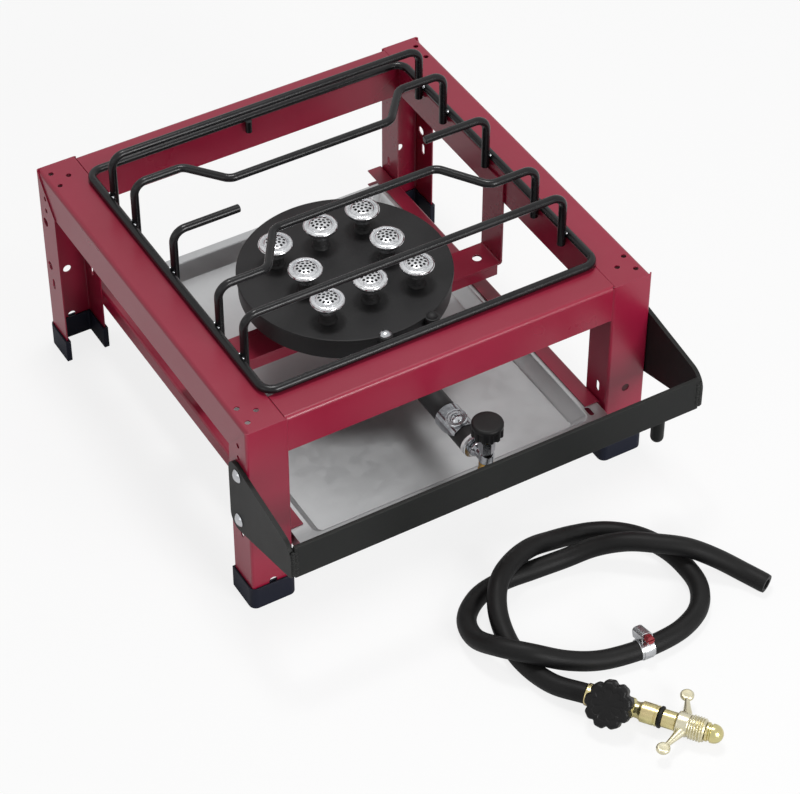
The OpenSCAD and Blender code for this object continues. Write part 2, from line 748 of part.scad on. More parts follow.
module valve_body() {
    back = tube_end - jet_neck;
    neck_r = tube_z - body_base - 0.1;
    on_burner() color(chrome) difference() {
        union() {
            translate([0, back, tube_z]) rotate([90, 0, 0]) rotate_extrude($fn = 48) polygon([
                [0, 0], [valve_d / 2 - 1, 0], [valve_d / 2, 1], [valve_d / 2, 7],
                [neck_r, 10], [neck_r, back - valve_y], [0, back - valve_y]]);
            translate([0, valve_y, body_base]) rotate_extrude($fn = 48) polygon([
                [0, 0], [valve_d / 2 - 2, 0], [valve_d / 2 - 0.5, 2], [valve_d / 2 - 0.5, 12],
                [valve_d / 2 - 2, body_top - body_base], [0, body_top - body_base]]);
        }
        translate([0, valve_y, tube_z - 3]) cylinder(d = spindle_d + 2 * run_fit, h = 40, $fn = 32);
        translate([0, valve_y, body_base - cut]) cylinder(d = 3, h = 20, $fn = 24);
        translate([0, back + cut, tube_z]) rotate([90, 0, 0])
            cylinder(d = 3, h = back - valve_y + cut, $fn = 24);
    }
}

module packing_nut() {
    on_burner() color(chrome) translate([0, valve_y, body_top])
        hex_nut(nut_af, nut_h, spindle_d + 2 * run_fit);
}

module hose_barb() {
    root = barb_d / 2;
    neck = 7;
    ridges = 3;
    ridge_l = (barb_l - neck) / ridges;
    on_burner() color(brass) translate([0, valve_y, body_base]) difference() {
        union() {
            translate([0, 0, -barb_hex_h]) rotate(30)
                cylinder(d = nut_af / cos(30), h = barb_hex_h, $fn = 6);
            translate([0, 0, -barb_hex_h - barb_l]) rotate_extrude($fn = 48) polygon(concat(
                [[0, 0]],
                [for (k = [0 : ridges - 1], t = [[root - 0.6, 0], [root + 0.7, 0.75], [root + 0.7, 0.9]])
                    [t[0], (k + t[1]) * ridge_l]],
                [[root, barb_l - neck], [root, barb_l], [0, barb_l]]));
        }
        translate([0, 0, -barb_hex_h - barb_l - cut])
            cylinder(d = 5, h = barb_hex_h + barb_l + 2 * cut, $fn = 32);
    }
}

module valve_spindle() {
    tip = 4;
    on_burner() color(brass) translate([0, valve_y, 0]) rotate_extrude($fn = 32) polygon([
        [0, tube_z - 2], [0.8, tube_z - 2], [spindle_d / 2, tube_z - 2 + tip],
        [spindle_d / 2, knob_z + knob_h - 4], [0, knob_z + knob_h - 4]]);
}

module fluted_disc(r, h, count, flute_r, edge) {
    intersection() {
        linear_extrude(h) difference() {
            circle(r = r, $fn = 96);
            for (k = [0 : count - 1]) rotate(k * 360 / count)
                translate([r + flute_r * 0.6, 0]) circle(r = flute_r, $fn = 24);
        }
        rotate_extrude($fn = 96) polygon([[0, 0], [r - edge / 2, 0], [r, edge / 2],
            [r, h - edge], [r - 0.3 * edge, h - 0.3 * edge], [r - edge, h], [0, h]]);
    }
}

module valve_knob() {
    on_burner() color(black) translate([0, valve_y, knob_z]) difference() {
        fluted_disc(knob_d / 2, knob_h, knob_flutes, 2.4, 2);
        translate([0, 0, -cut]) cylinder(d = spindle_d, h = knob_h - 4 + cut, $fn = 32);
    }
}

// Grate: a loop of wire on the side rails with raised wires for the pan
loop_x = open_x + loop_over;
loop_y = open_y - loop_inset;
loop_z = stand_h + face_gap + wire_d / 2;
pan_z = stand_h + wire_rise;
wire_foot = loop_z + 1;      // the raised wires end in the loop, just above its middle

wire_leg = pan_z - wire_foot - wire_bend;
crank_back = wire_bend * tan(22.5);          // what half a crank bend takes from a straight
crank_out_x = crank_in_x + crank_wire_y - crank_in_y;
crank_out_l = loop_x - crank_out_x - wire_bend - crank_back;
crank_slope_l = (crank_wire_y - crank_in_y) / cos(45) - 2 * crank_back;

module pan_wire(s) {
    to_corner(1, s) translate([-loop_x, outer_wire_y, wire_foot]) color(black)
        bent_bar([[wire_leg, 90, 0], [2 * (loop_x - wire_bend), 90, 0], [wire_leg]], wire_d, wire_bend);
}

module crank_wire(s) {
    to_corner(1, s) translate([-loop_x, crank_wire_y, wire_foot]) color(black) bent_bar([
        [wire_leg, 90, 0], [crank_out_l, 45, -90], [crank_slope_l, 45, 180],
        [2 * (crank_in_x - crank_back), 45, 0], [crank_slope_l, 45, 180], [crank_out_l, 90, 90],
        [wire_leg]
    ], wire_d, wire_bend);
}

module finger_wire(s) {
    to_corner(s, 1) translate([loop_x, 0, wire_foot]) color(black)
        bent_bar([[wire_leg, 90, 180], [loop_x - wire_bend - finger_x]], wire_d, wire_bend);
}

module grate_loop() {
    along = 2 * (loop_y - wire_bend);
    across = 2 * (loop_x - wire_bend);
    on_stand() color(black) {
        translate([loop_x, -along / 2, loop_z]) rotate([-90, 0, 0]) bent_bar([
            [along, 90, 180], [across, 90, 0], [along, 90, 0], [across, 90, 0], [0]
        ], wire_d, wire_bend);
        translate([0, loop_y, loop_z - wire_d / 2 - grate_peg_l])
            cylinder(d = wire_d - 1, h = wire_d / 2 + grate_peg_l, $fn = 24);
    }
}

module grate_wire_front() pan_wire(-1);
module grate_wire_back() pan_wire(1);
module grate_crank_front() crank_wire(-1);
module grate_crank_back() crank_wire(1);
module grate_finger_left() finger_wire(-1);
module grate_finger_right() finger_wire(1);

// Tray: a pressed pan whose side lips slide in the runners
tray_x = runner_x - sheet_t - tray_side_play;
tray_top = runner_z - sheet_t - tray_play;
tray_base = runner_z - runner_h + sheet_t + tray_play;
pan_x = tray_x - tray_lip;
tray_back = half_d - tray_back_gap;
tray_front = -half_d - tray_out;
pan_back = tray_back - tray_end_lip;
pan_front = tray_front + tray_end_lip;
tray_slot = [12, 5];

// A pan-shaped block: small below, wider above, both shrunk by t
module pan_block(t, z0, z1) {
    steep = tray_lean;
    hull() {
        translate([-pan_x + steep + t, pan_front + steep + t, z0])
            cube([2 * (pan_x - steep - t), pan_back - pan_front - 2 * (steep + t), 0.01]);
        translate([-pan_x + t, pan_front + t, z1 - 0.01])
            cube([2 * (pan_x - t), pan_back - pan_front - 2 * t, 0.01]);
    }
}

module drip_tray() {
    on_stand() color(zinc) difference() {
        union() {
            pan_block(0, tray_base, tray_top);
            translate([-tray_x, tray_front, tray_top - tray_t])
                cube([2 * tray_x, tray_back - tray_front, tray_t]);
            for (s = [-1, 1]) translate([s > 0 ? tray_x - tray_t : -tray_x, tray_front, tray_base])
                cube([tray_t, tray_back - tray_front, tray_top - tray_base]);
            translate([-pan_x, tray_front, tray_top - 10]) cube([2 * pan_x, tray_t, 10]);
        }
        pan_block(tray_t, tray_base + tray_t, tray_top + cut);
        for (s = [-1, 1]) translate([s * (pan_x + tray_slot[1]) - tray_slot[1] / 2,
            tray_front + tray_slot[0], tray_top - tray_t - cut])
            cube([tray_slot[1], tray_slot[0], tray_t + 2 * cut]);
    }
}

// Hose: one free length on the floor, from the regulator's ferrule to its cut end
route = [
    [-12, -397, 14], [-29, -371, 11], [-36, -340, 9], [-35, -310, 10], [-29, -284, 19],
    [-15, -263, 27], [6, -249, 28], [31, -240, 25], [57, -234, 15], [84, -234, 9],
    [109, -244, 9], [129, -262, 9], [141, -286, 9], [145, -312, 9], [142, -339, 9],
    [127, -361, 9], [103, -373, 9], [75, -377, 10], [46, -375, 10], [18, -369, 11],
    [-9, -360, 18], [-34, -346, 27], [-53, -325, 26], [-60, -298, 15], [-52, -271, 9],
    [-30, -254, 9], [-2, -249, 9], [27, -251, 9], [57, -255, 11], [84, -263, 19],
    [107, -278, 27], [128, -295, 29], [149, -311, 27], [168, -328, 19], [184, -348, 11],
    [194, -368, 9]
];
hose_sides = 10;
reg_dir = [0.6, -0.8];       // the way the regulator points, away from the hose

function heading(path, i) =
    i == 0 ? [-reg_dir[0], -reg_dir[1], 0] : unit(path[min(i + 1, len(path) - 1)] - path[i - 1]);
function ring_points(path, i, r) =
    let (t = heading(path, i), side = unit(cross(t, [0, 0, 1])), up = cross(side, t))
    [for (k = [0 : hose_sides - 1]) let (a = 360 * k / hose_sides - 90)
        path[i] + r * (cos(a) * side + sin(a) * up)];

module swept_tube(path, r) {
    n = len(path);
    s = hose_sides;
    polyhedron(
        points = [for (i = [0 : n - 1]) each ring_points(path, i, r)],
        faces = concat(
            [[for (k = [0 : s - 1]) k]],
            [for (i = [0 : n - 2], k = [0 : s - 1]) let (a = i * s + k, b = i * s + (k + 1) % s)
                each [[a, b + s, b], [a, a + s, b + s]]],
            [[for (k = [s - 1 : -1 : 0]) (n - 1) * s + k]]
        )
    );
}

module gas_hose() color(rubber) swept_tube(route, hose_d / 2);

// Clamp: a worm-drive band loose on the hose
clamp_leg = 17;              // the clamp sits between this point of the route and the next
clamp_lean = 20;
clamp_at = (route[clamp_leg] + route[clamp_leg + 1]) / 2;
clamp_dir = route[clamp_leg + 1] - route[clamp_leg];
band_grip = 0.15;            // how far the band bites into the rubber
band_r = hose_d / 2 - band_grip;
worm_r = 3.2;
worm_z = band_r + band_t + worm_r + 1.2;

module on_clamp() {
    translate(clamp_at) rotate([0, 0, atan2(clamp_dir[1], clamp_dir[0])]) rotate([clamp_lean, 0, 0])
        children();
}

module hose_clamp() {
    house_w = band_w - 2;
    house_l = 0.55 * clamp_screw_l;
    on_clamp() color(chrome) difference() {
        union() {
            translate([-band_w / 2, 0, 0]) rotate([0, 90, 0]) cylinder(r = band_r + band_t, h = band_w, $fn = 64);
            translate([-house_w / 2, -house_l / 2, 0]) cube([house_w, house_l, worm_z + worm_r + 1]);
        }
        translate([-band_w, 0, 0]) rotate([0, 90, 0]) cylinder(r = band_r, h = 2 * band_w, $fn = 64);
        translate([0, house_l, worm_z]) rotate([90, 0, 0])
            cylinder(r = worm_r + run_fit, h = 2 * house_l, $fn = 32);
    }
}

module clamp_screw() {
    head_l = 0.3 * clamp_screw_l;
    on_clamp() color("firebrick") translate([0, -clamp_screw_l / 2, worm_z]) rotate([-90, 0, 0])
        difference() {
            union() {
                cylinder(r = worm_r, h = clamp_screw_l - head_l, $fn = 32);
                translate([0, 0, 0.775 * clamp_screw_l + face_gap])
                    cylinder(r = worm_r + 1, h = 0.225 * clamp_screw_l - face_gap, $fn = 6);
                cylinder(r = worm_r, h = 0.8 * clamp_screw_l, $fn = 32);
            }
            translate([-worm_r - 2, -0.6, clamp_screw_l - 1.5]) cube([2 * worm_r + 4, 1.2, 2]);
        }
}

// Regulator: lies on its side at the hose's end; its parts are turned about one axis
ferrule_l = 8;
reg_body_end = 48;
collar_end = 64;
seal_end = 67;
neck_end = 79;
wing_hub_l = 11;
nose_l = 15;
hub_start = neck_end + face_gap;
thread_end = hub_start + wing_hub_l + wing_thread_l;
knob_at = 24;
knob_off = reg_d / 2 + 1;

module on_regulator() {
    translate(route[0]) rotate([0, 0, atan2(reg_dir[1], reg_dir[0])]) children();
}

// Turns an outline drawn as (radius, distance along the axis) round the regulator's axis
module lathe() {
    on_regulator() rotate([0, 90, 0]) rotate_extrude($fn = 48) children();
}

module regulator_ferrule() {
    r = hose_d / 2 + 1;
    color(gold) lathe() polygon([[5, 0], [r - 1, 0], [r, 1], [r, 5], [r - 0.6, 6], [r - 0.6, ferrule_l], [5, ferrule_l]]);
}

module regulator_body() {
    r = reg_d / 2;
    color(gold) difference() {
        union() {
            lathe() polygon([[0, ferrule_l], [r - 1, ferrule_l], [r, ferrule_l + 2], [r, reg_body_end - 6],
                [r - 2, reg_body_end - 3], [r - 2, reg_body_end], [r, reg_body_end + 1],
                [r, collar_end - 1], [r - 1, collar_end], [0, collar_end]]);
            on_regulator() translate([knob_at, 0, 0]) rotate([reg_knob_tilt, 0, 0])
                cylinder(r = r - 1, h = knob_off - face_gap, $fn = 48);
        }
        on_regulator() translate([knob_at, 0, 0]) rotate([reg_knob_tilt, 0, 0])
            translate([0, 0, r / 2]) cylinder(r = 3 + run_fit, h = knob_off, $fn = 32);
    }
}

module regulator_knob() {
    on_regulator() translate([knob_at, 0, 0]) rotate([reg_knob_tilt, 0, 0]) color(black) {
        translate([0, 0, knob_off]) fluted_disc(reg_knob_d / 2, reg_knob_h, reg_scallops, 5, 3);
        translate([0, 0, reg_d / 4 + face_gap]) cylinder(r = 3, h = knob_off - reg_d / 4, $fn = 32);
    }
}

module stem_seal() {
    color(rubber) lathe() polygon([[reg_stem_d / 2, collar_end], [reg_d / 2 + 0.5, collar_end],
        [reg_d / 2 + 0.5, seal_end], [reg_stem_d / 2, seal_end]]);
}

module inlet_stem() {
    s = reg_stem_d / 2;
    n = wing_thread_d / 2 - 2.5;
    z = thread_end + face_gap;
    color(gold) lathe() polygon(concat(
        [[0, collar_end], [s, collar_end], [s, seal_end], [s + 1.8, seal_end], [s + 1.8, neck_end],
        [s, neck_end], [s, z], [n - 1, z], [n, z + 1], [n, z + 3], [n - 1, z + 3.5], [n - 1, z + 4.5],
        [n, z + 5]],
        dome_points(n, nose_l - 7, z + 7),
        [[0, z]]
    ));
}

module wing_nut() {
    r = wing_thread_d / 2;
    bore = reg_stem_d / 2 + run_fit;
    back = 8;
    root_r = 3.5;
    arm_root = hub_start + 0.6 * wing_hub_l;
    color(gold) union() {
        lathe() polygon(concat(
            [[bore, hub_start], [r - 2, hub_start], [r - 0.5, hub_start + 1.5],
            [r - 0.5, hub_start + wing_hub_l - 1], [r - 2, hub_start + wing_hub_l]],
            thread_points(r, hub_start + wing_hub_l, thread_end, 1),
            [[r - 1, thread_end], [bore, thread_end]]));
        on_regulator() for (s = [-1, 1]) {
            hull() {
                translate([arm_root, s * (bore + root_r + 0.3), -2.5]) cylinder(r = root_r, h = 5, $fn = 24);
                translate([arm_root - back, s * (wing_reach - 6), -1.5]) cylinder(r = 2, h = 3, $fn = 24);
            }
            translate([arm_root - back, s * (wing_reach - 6), 0]) scale([1, 1, 0.6]) sphere(r = 6, $fn = 32);
        }
    }
}

top_rail_left();
top_rail_right();
top_rail_front();
top_rail_back();
leg_front_left();
leg_front_right();
leg_back_left();
leg_back_right();
foot_front_left();
foot_front_right();
foot_back_left();
foot_back_right();
tray_runner_left();
tray_runner_right();
burner_bridge();
guard_bar();
guard_arm_left();
guard_arm_right();
guard_peg();
guard_bolts();
guard_nuts();
burner_drum();
burner_lid();
lid_bolts();
bridge_bolt();
head_stems();
burner_heads();
mixing_tube();
gas_jet();
valve_body();
packing_nut();
hose_barb();
valve_spindle();
valve_knob();
air_shutter();
shutter_screw();
grate_loop();
grate_wire_front();
grate_wire_back();
grate_crank_front();
grate_crank_back();
grate_finger_left();
grate_finger_right();
drip_tray();
gas_hose();
hose_clamp();
clamp_screw();
regulator_ferrule();
regulator_body();
regulator_knob();
stem_seal();
inlet_stem();
wing_nut();
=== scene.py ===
import math
import random

import bmesh
import bpy
from mathutils import Matrix, Vector


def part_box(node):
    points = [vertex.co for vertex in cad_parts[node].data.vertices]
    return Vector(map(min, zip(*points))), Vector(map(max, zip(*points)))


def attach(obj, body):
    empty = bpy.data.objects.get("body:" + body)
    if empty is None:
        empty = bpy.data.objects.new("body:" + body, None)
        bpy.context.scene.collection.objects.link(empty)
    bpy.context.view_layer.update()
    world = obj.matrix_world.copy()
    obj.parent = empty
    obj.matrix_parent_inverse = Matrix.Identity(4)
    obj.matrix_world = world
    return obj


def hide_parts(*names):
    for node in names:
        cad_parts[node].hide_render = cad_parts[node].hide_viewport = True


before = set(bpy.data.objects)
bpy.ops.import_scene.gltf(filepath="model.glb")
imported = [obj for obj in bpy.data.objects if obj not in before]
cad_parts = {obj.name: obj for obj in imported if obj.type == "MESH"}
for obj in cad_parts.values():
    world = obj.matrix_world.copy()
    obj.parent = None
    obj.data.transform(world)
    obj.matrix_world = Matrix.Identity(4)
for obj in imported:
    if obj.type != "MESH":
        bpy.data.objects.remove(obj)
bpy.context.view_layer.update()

# Places and sizes are millimetres, as in the drawing; a piece is scaled to metres when it is made.
mm = 0.001
dice = random.Random(7)
full = 2 * math.pi
sharpAngle = math.radians(38)     # edges sharper than this are rounded


def nodeBox(node):
    low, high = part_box(node)
    return Vector(low) / mm, Vector(high) / mm


def axes(origin, x, y, z):
    rows = [Vector(v).resized(4) for v in (x, y, z)] + [Vector(origin).to_4d()]
    return Matrix(rows).transposed()


# Stand-wide places, read from the frame
standLow = nodeBox("leg_front_left")[0]
standHigh = nodeBox("leg_back_right")[1]
standMid = Vector((0, (standLow.y + standHigh.y) / 2, 0))
halfSide = standHigh.x
railTop = standHigh.z
onStand = Matrix.Translation(standMid)
sheet = {"thick": 1.2, "bend": 2.0, "edge": 0.25}


def toCorner(sideX, sideY):
    return onStand @ Matrix.Diagonal((sideX, sideY, 1, 1))


# Shapes

def roundedPath(points, radius, steps=8):
    # a polyline with each corner replaced by an arc
    bends = [Vector(p).to_3d() for p in points]
    radii = radius if isinstance(radius, list) else [radius] * len(bends)
    path = [bends[0]]
    for i in range(1, len(bends) - 1):
        here = bends[i]
        back = (bends[i - 1] - here).normalized()
        ahead = (bends[i + 1] - here).normalized()
        inside = back.angle(ahead)
        run = radii[i] / math.tan(inside / 2)
        centre = here + (back + ahead).normalized() * (radii[i] / math.sin(inside / 2))
        start = here + back * run - centre
        stop = here + ahead * run - centre
        axis = start.cross(stop).normalized()
        for k in range(steps + 1):
            path.append(centre + Matrix.Rotation((math.pi - inside) * k / steps, 3, axis) @ start)
    return path + [bends[-1]]


def sheetOutline(path, thick, bend, steps=7):
    # outline of folded sheet: the path moved to both sides, with the inner and outer bend radius
    points = [Vector(p) for p in path]
    runs = [(b - a).normalized() for a, b in zip(points, points[1:])]
    sides = []
    for side in (1, -1):
        moved, radii = [], []
        for i, point in enumerate(points):
            before = runs[max(i - 1, 0)]
            after = runs[min(i, len(runs) - 1)]
            normal = Vector((-before.y - after.y, before.x + after.x))
            normal /= 1 + before.dot(after)
            bendWay = before.x * after.y - before.y * after.x
            moved.append(point + normal * side * thick / 2)
            radius = bend[i] if isinstance(bend, list) else bend
            radii.append(radius - math.copysign(thick / 2, bendWay) * side)
        sides.append([p.to_2d() for p in roundedPath(moved, radii, steps)])
    return sides[0] + sides[1][::-1]


def hullOutline(points):
    # the convex outline round a set of points
    ordered = sorted((round(p[0], 5), round(p[1], 5)) for p in points)
    halves = []
    for row in (ordered, ordered[::-1]):
        chain = []
        for p in row:
            while len(chain) > 1:
                (ax, ay), (bx, by) = chain[-2], chain[-1]
                if (bx - ax) * (p[1] - ay) - (by - ay) * (p[0] - ax) > 1e-9:
                    break
                chain.pop()
            chain.append(p)
        halves += chain[:-1]
    return [Vector(p) for p in halves]


def arcPoints(centre, radius, start, stop, steps=12):
    angles = [math.radians(start + (stop - start) * k / steps) for k in range(steps + 1)]
    return [Vector((centre[0] + radius * math.cos(a), centre[1] + radius * math.sin(a))) for a in angles]


def ballRadius(radius, height):
    # of the ball whose cap has this radius and height
    return (radius * radius + height * height) / (2 * height)


def domePoints(radius, height, base, steps=6):
    # from the dome's rim up to its top, which lies on the axis
    ball = ballRadius(radius, height)
    reach = math.asin(min(1, radius / ball))
    turns = [reach * (1 - k / steps) for k in range(steps)]
    top = base + height
    return [(ball * math.sin(a), top - ball + ball * math.cos(a)) for a in turns] + [(0, top)]


def slotPoints(x, y, wide, long):
    # the outline of a slot with round ends, long in y
    r = wide / 2
    reach = long / 2 - r
    return arcPoints((x, y + reach), r, 0, 180, 8) + arcPoints((x, y - reach), r, 180, 360, 8)


def skinRings(bm, first, second):
    count = max(len(first), len(second))
    for k in range(count):
        m = (k + 1) % count
        if len(first) == 1 and len(second) == 1:
            continue
        if len(first) == 1:
            bm.faces.new((first[0], second[m], second[k]))
        elif len(second) == 1:
            bm.faces.new((first[k], first[m], second[0]))
        else:
            bm.faces.new((first[k], first[m], second[m], second[k]))


def addLoft(bm, rings, place=Matrix(), loop=False, ends=True):
    rows = [[bm.verts.new(place @ Vector(p).to_3d()) for p in ring] for ring in rings]
    for first, second in zip(rows, rows[1:]):
        skinRings(bm, first, second)
    if loop:
        skinRings(bm, rows[-1], rows[0])
    elif ends:
        for row in (rows[0], rows[-1]):
            if len(row) > 2:
                bm.faces.new(row)
    return rows


def ringOf(radius, height, steps):
    # a level ring round Z; its radius is a number or follows from the angle
    turns = [full * k / steps for k in range(steps)]
    radii = [radius(a) if callable(radius) else radius for a in turns]
    return [(r * math.cos(a), r * math.sin(a), height) for r, a in zip(radii, turns)]


def ellipse(centre, first, second, steps):
    turns = [full * k / steps for k in range(steps)]
    return [centre + first * math.cos(a) + second * math.sin(a) for a in turns]


def addLathe(bm, outline, place=Matrix(), steps=48, loop=False):
    rings = [ringOf(radius, height, steps) if radius else [(0, 0, height)] for radius, height in outline]
    addLoft(bm, rings, place, loop, ends=False)


def addPrism(bm, outline, place, length):
    addLoft(bm, [[(p[0], p[1], 0) for p in outline], [(p[0], p[1], length) for p in outline]], place)


def addBlock(bm, low, high, place=Matrix()):
    outline = [(low[0], low[1]), (high[0], low[1]), (high[0], high[1]), (low[0], high[1])]
    addPrism(bm, outline, place @ Matrix.Translation((0, 0, low[2])), high[2] - low[2])


def tubeRings(path, radiusAt, steps):
    # rings square to a path, carried along it without twist
    points = [Vector(p) for p in path]
    rings = []
    side = None
    for i, point in enumerate(points):
        ahead = (points[min(i + 1, len(points) - 1)] - points[max(i - 1, 0)]).normalized()
        if side is None:
            side = ahead.orthogonal().normalized()
        side = (side - ahead * side.dot(ahead)).normalized()
        up = ahead.cross(side)
        rings.append(ellipse(point, side * radiusAt(i), up * radiusAt(i), steps))
    return rings


def addBead(bm, start, stop, radius, count, flatten=(1, 1, 1)):
    # a run of weld metal: overlapping drops of slightly different size
    for k in range(count):
        spot = Vector(start).lerp(Vector(stop), (k + 0.5) / count)
        size = radius * dice.uniform(0.8, 1.15)
        turn = Matrix.Rotation(dice.uniform(0, 3), 4, Vector((dice.random(), dice.random(), dice.random())))
        place = Matrix.Translation(spot) @ Matrix.Diagonal([size * f for f in flatten] + [1])
        bmesh.ops.create_icosphere(bm, subdivisions=2, radius=1, matrix=place @ turn)


def toMesh(name, bm):
    bmesh.ops.recalc_face_normals(bm, faces=bm.faces)
    mesh = bpy.data.meshes.new(name)
    bmesh.ops.scale(bm, vec=(mm, mm, mm), verts=bm.verts)
    bm.to_mesh(mesh)
    bm.free()
    return mesh


def newObject(name, bm):
    made = bpy.data.objects.new(name, toMesh(name, bm))
    bpy.context.collection.objects.link(made)
    return made


def cutAway(piece, cutting):
    boolean = piece.modifiers.new("holes", "BOOLEAN")
    boolean.operation = "DIFFERENCE"
    boolean.solver = "EXACT"
    boolean.object = cutting


def worked(piece):
    # the piece's mesh with its modifiers worked in
    graph = bpy.context.evaluated_depsgraph_get()
    final = bpy.data.meshes.new_from_object(piece.evaluated_get(graph))
    piece.modifiers.clear()
    return final


def makePiece(name, bm, finish, body, nodes=(), cutter=None, place=Matrix(), bevel=0, smooth=32, steps=2):
    # one piece of the object: its form with holes and rounded edges, its finish, body and nodes
    for form in (bm, cutter):
        if form is not None:
            bmesh.ops.transform(form, matrix=place, verts=form.verts)
    piece = newObject(name, bm)
    cutting = None
    if cutter is not None:
        cutting = newObject(name + "Cut", cutter)
        cutAway(piece, cutting)
    if bevel:
        rounding = piece.modifiers.new("edges", "BEVEL")
        rounding.width = bevel * mm
        rounding.segments = steps
        rounding.limit_method = "ANGLE"
        rounding.angle_limit = sharpAngle
    if piece.modifiers:
        piece.data = worked(piece)
    if cutting:
        bpy.data.objects.remove(cutting)
    piece.data.shade_smooth()
    piece.data.set_sharp_from_angle(angle=math.radians(smooth))
    shading = piece.modifiers.new("shading", "WEIGHTED_NORMAL")     # flat faces stay flat beside their bends
    shading.keep_sharp = True
    piece.data = worked(piece)
    piece.data.name = name
    piece.data.materials.clear()
    piece.data.materials.append(finishes[finish])
    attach(piece, body)
    if nodes:
        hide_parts(*nodes)
    return piece


def turnPiece(name, outline, place, steps, finish, body, nodes=(), loop=False, **more):
    bm = bmesh.new()
    addLathe(bm, outline, place, steps, loop)
    return makePiece(name, bm, finish, body, nodes, **more)


# Shader groups shared by several finishes

def plug(tree, value, socket):
    # a link from another node, or a fixed value
    if isinstance(value, bpy.types.NodeSocket):
        tree.links.new(value, socket)
    else:
        socket.default_value = value


def addNode(tree, kind, **values):
    made = tree.nodes.new(kind)
    for name, value in values.items():
        plug(tree, value, made.inputs[name.replace("_", " ")])
    return made.outputs


def mathNode(tree, operation, first, second, clamp=False):
    made = tree.nodes.new("ShaderNodeMath")
    made.operation = operation
    made.use_clamp = clamp
    plug(tree, first, made.inputs[0])
    plug(tree, second, made.inputs[1])
    return made.outputs[0]


def mixColours(tree, share, first, second, blend="MIX"):
    made = tree.nodes.new("ShaderNodeMix")
    made.data_type = "RGBA"
    made.blend_type = blend
    for label, value in (("Factor", share), ("A", first), ("B", second)):
        plug(tree, value, made.inputs[label])
    return made.outputs["Result"]


def newGroup(name, inputs, outputs):
    # the kind of an input follows from its first value
    tree = bpy.data.node_groups.new(name, "ShaderNodeTree")
    for label, start in inputs.items():
        kind = "NodeSocketFloat"
        if isinstance(start, tuple):
            kind = "NodeSocketVector" if len(start) == 3 else "NodeSocketColor"
        tree.interface.new_socket(label, in_out="INPUT", socket_type=kind).default_value = start
    for label in outputs:
        kind = "NodeSocketColor" if label == "Color" else "NodeSocketFloat"
        tree.interface.new_socket(label, in_out="OUTPUT", socket_type=kind)
    return tree, tree.nodes.new("NodeGroupInput").outputs, tree.nodes.new("NodeGroupOutput").inputs


def objectNoise(tree, scale, detail, stretch=None, rough=0.55):
    # noise in the piece's own coordinates, so that it keeps its scale and place
    where = addNode(tree, "ShaderNodeTexCoord")["Object"]
    if stretch is not None:
        where = addNode(tree, "ShaderNodeMapping", Vector=where, Scale=stretch)["Vector"]
    noise = addNode(tree, "ShaderNodeTexNoise", Detail=detail, Roughness=rough, Vector=where, Scale=scale)
    return noise["Fac"]


def buildRelief(name, scale, detail, stretch=None):
    # noise as a height: an even grain, or marks drawn out to lines
    inputs = {"Scale": scale, "Height": 1}
    if stretch:
        inputs["Stretch"] = stretch
    tree, given, result = newGroup(name, inputs, ["Height"])
    noise = objectNoise(tree, given["Scale"], detail, given["Stretch"] if stretch else None)
    plug(tree, mathNode(tree, "MULTIPLY", noise, given["Height"]), result["Height"])
    return tree


def buildToneDrift():
    # two tones that pass into each other
    tree, given, result = newGroup("toneDrift", {
        "Color": (0.5, 0.5, 0.5, 1), "Second Color": (0.4, 0.4, 0.4, 1), "Scale": 12, "Contrast": 2},
        ["Color", "Mask"])
    centred = mathNode(tree, "SUBTRACT", objectNoise(tree, given["Scale"], 4), 0.5)
    steep = mathNode(tree, "MULTIPLY", centred, given["Contrast"])
    mask = mathNode(tree, "ADD", steep, 0.5, clamp=True)
    plug(tree, mixColours(tree, mask, given["Color"], given["Second Color"]), result["Color"])
    plug(tree, mask, result["Mask"])
    return tree


def buildDustVeil():
    # pale dust that lies on faces that look upwards
    tree, given, result = newGroup("dustVeil", {
        "Color": (0.5, 0.5, 0.5, 1), "Dust Color": (0.6, 0.58, 0.55, 1), "Amount": 0.05, "Scale": 30},
        ["Color", "Mask"])
    normal = addNode(tree, "ShaderNodeNewGeometry")["Normal"]
    up = mathNode(tree, "MAXIMUM", addNode(tree, "ShaderNodeSeparateXYZ", Vector=normal)["Z"], 0)
    lying = mathNode(tree, "MULTIPLY", up, objectNoise(tree, given["Scale"], 6, rough=0.65))
    mask = mathNode(tree, "MULTIPLY", lying, given["Amount"], clamp=True)
    plug(tree, mixColours(tree, mask, given["Color"], given["Dust Color"]), result["Color"])
    plug(tree, mask, result["Mask"])
    return tree


def buildPaintedEdgeLight():
    # finds sharp edges by comparing the true normal with a rounded one; the mask paints a patchy lighter
    # highlight along them
    tree, given, result = newGroup("paintedEdgeLight", {"Width": 0.0008, "Amount": 0.5, "Scale": 150}, ["Mask"])
    bevel = tree.nodes.new("ShaderNodeBevel")
    bevel.samples = 4
    plug(tree, given["Width"], bevel.inputs["Radius"])
    dot = tree.nodes.new("ShaderNodeVectorMath")
    dot.operation = "DOT_PRODUCT"
    plug(tree, bevel.outputs["Normal"], dot.inputs[0])
    plug(tree, addNode(tree, "ShaderNodeNewGeometry")["Normal"], dot.inputs[1])
    turned = mathNode(tree, "SUBTRACT", 1, dot.outputs["Value"])
    strong = mathNode(tree, "MULTIPLY", turned, 6, clamp=True)
    patchy = mathNode(tree, "MULTIPLY", strong, objectNoise(tree, given["Scale"], 4))
    plug(tree, mathNode(tree, "MULTIPLY", patchy, given["Amount"], clamp=True), result["Mask"])
    return tree


groups = {
    "fineGrain": buildRelief("fineGrain", 900, 3),
    "brushLines": buildRelief("brushLines", 400, 2, (1, 0.05, 1)),
    "toneDrift": buildToneDrift(), "dustVeil": buildDustVeil(), "paintedEdgeLight": buildPaintedEdgeLight(),
}


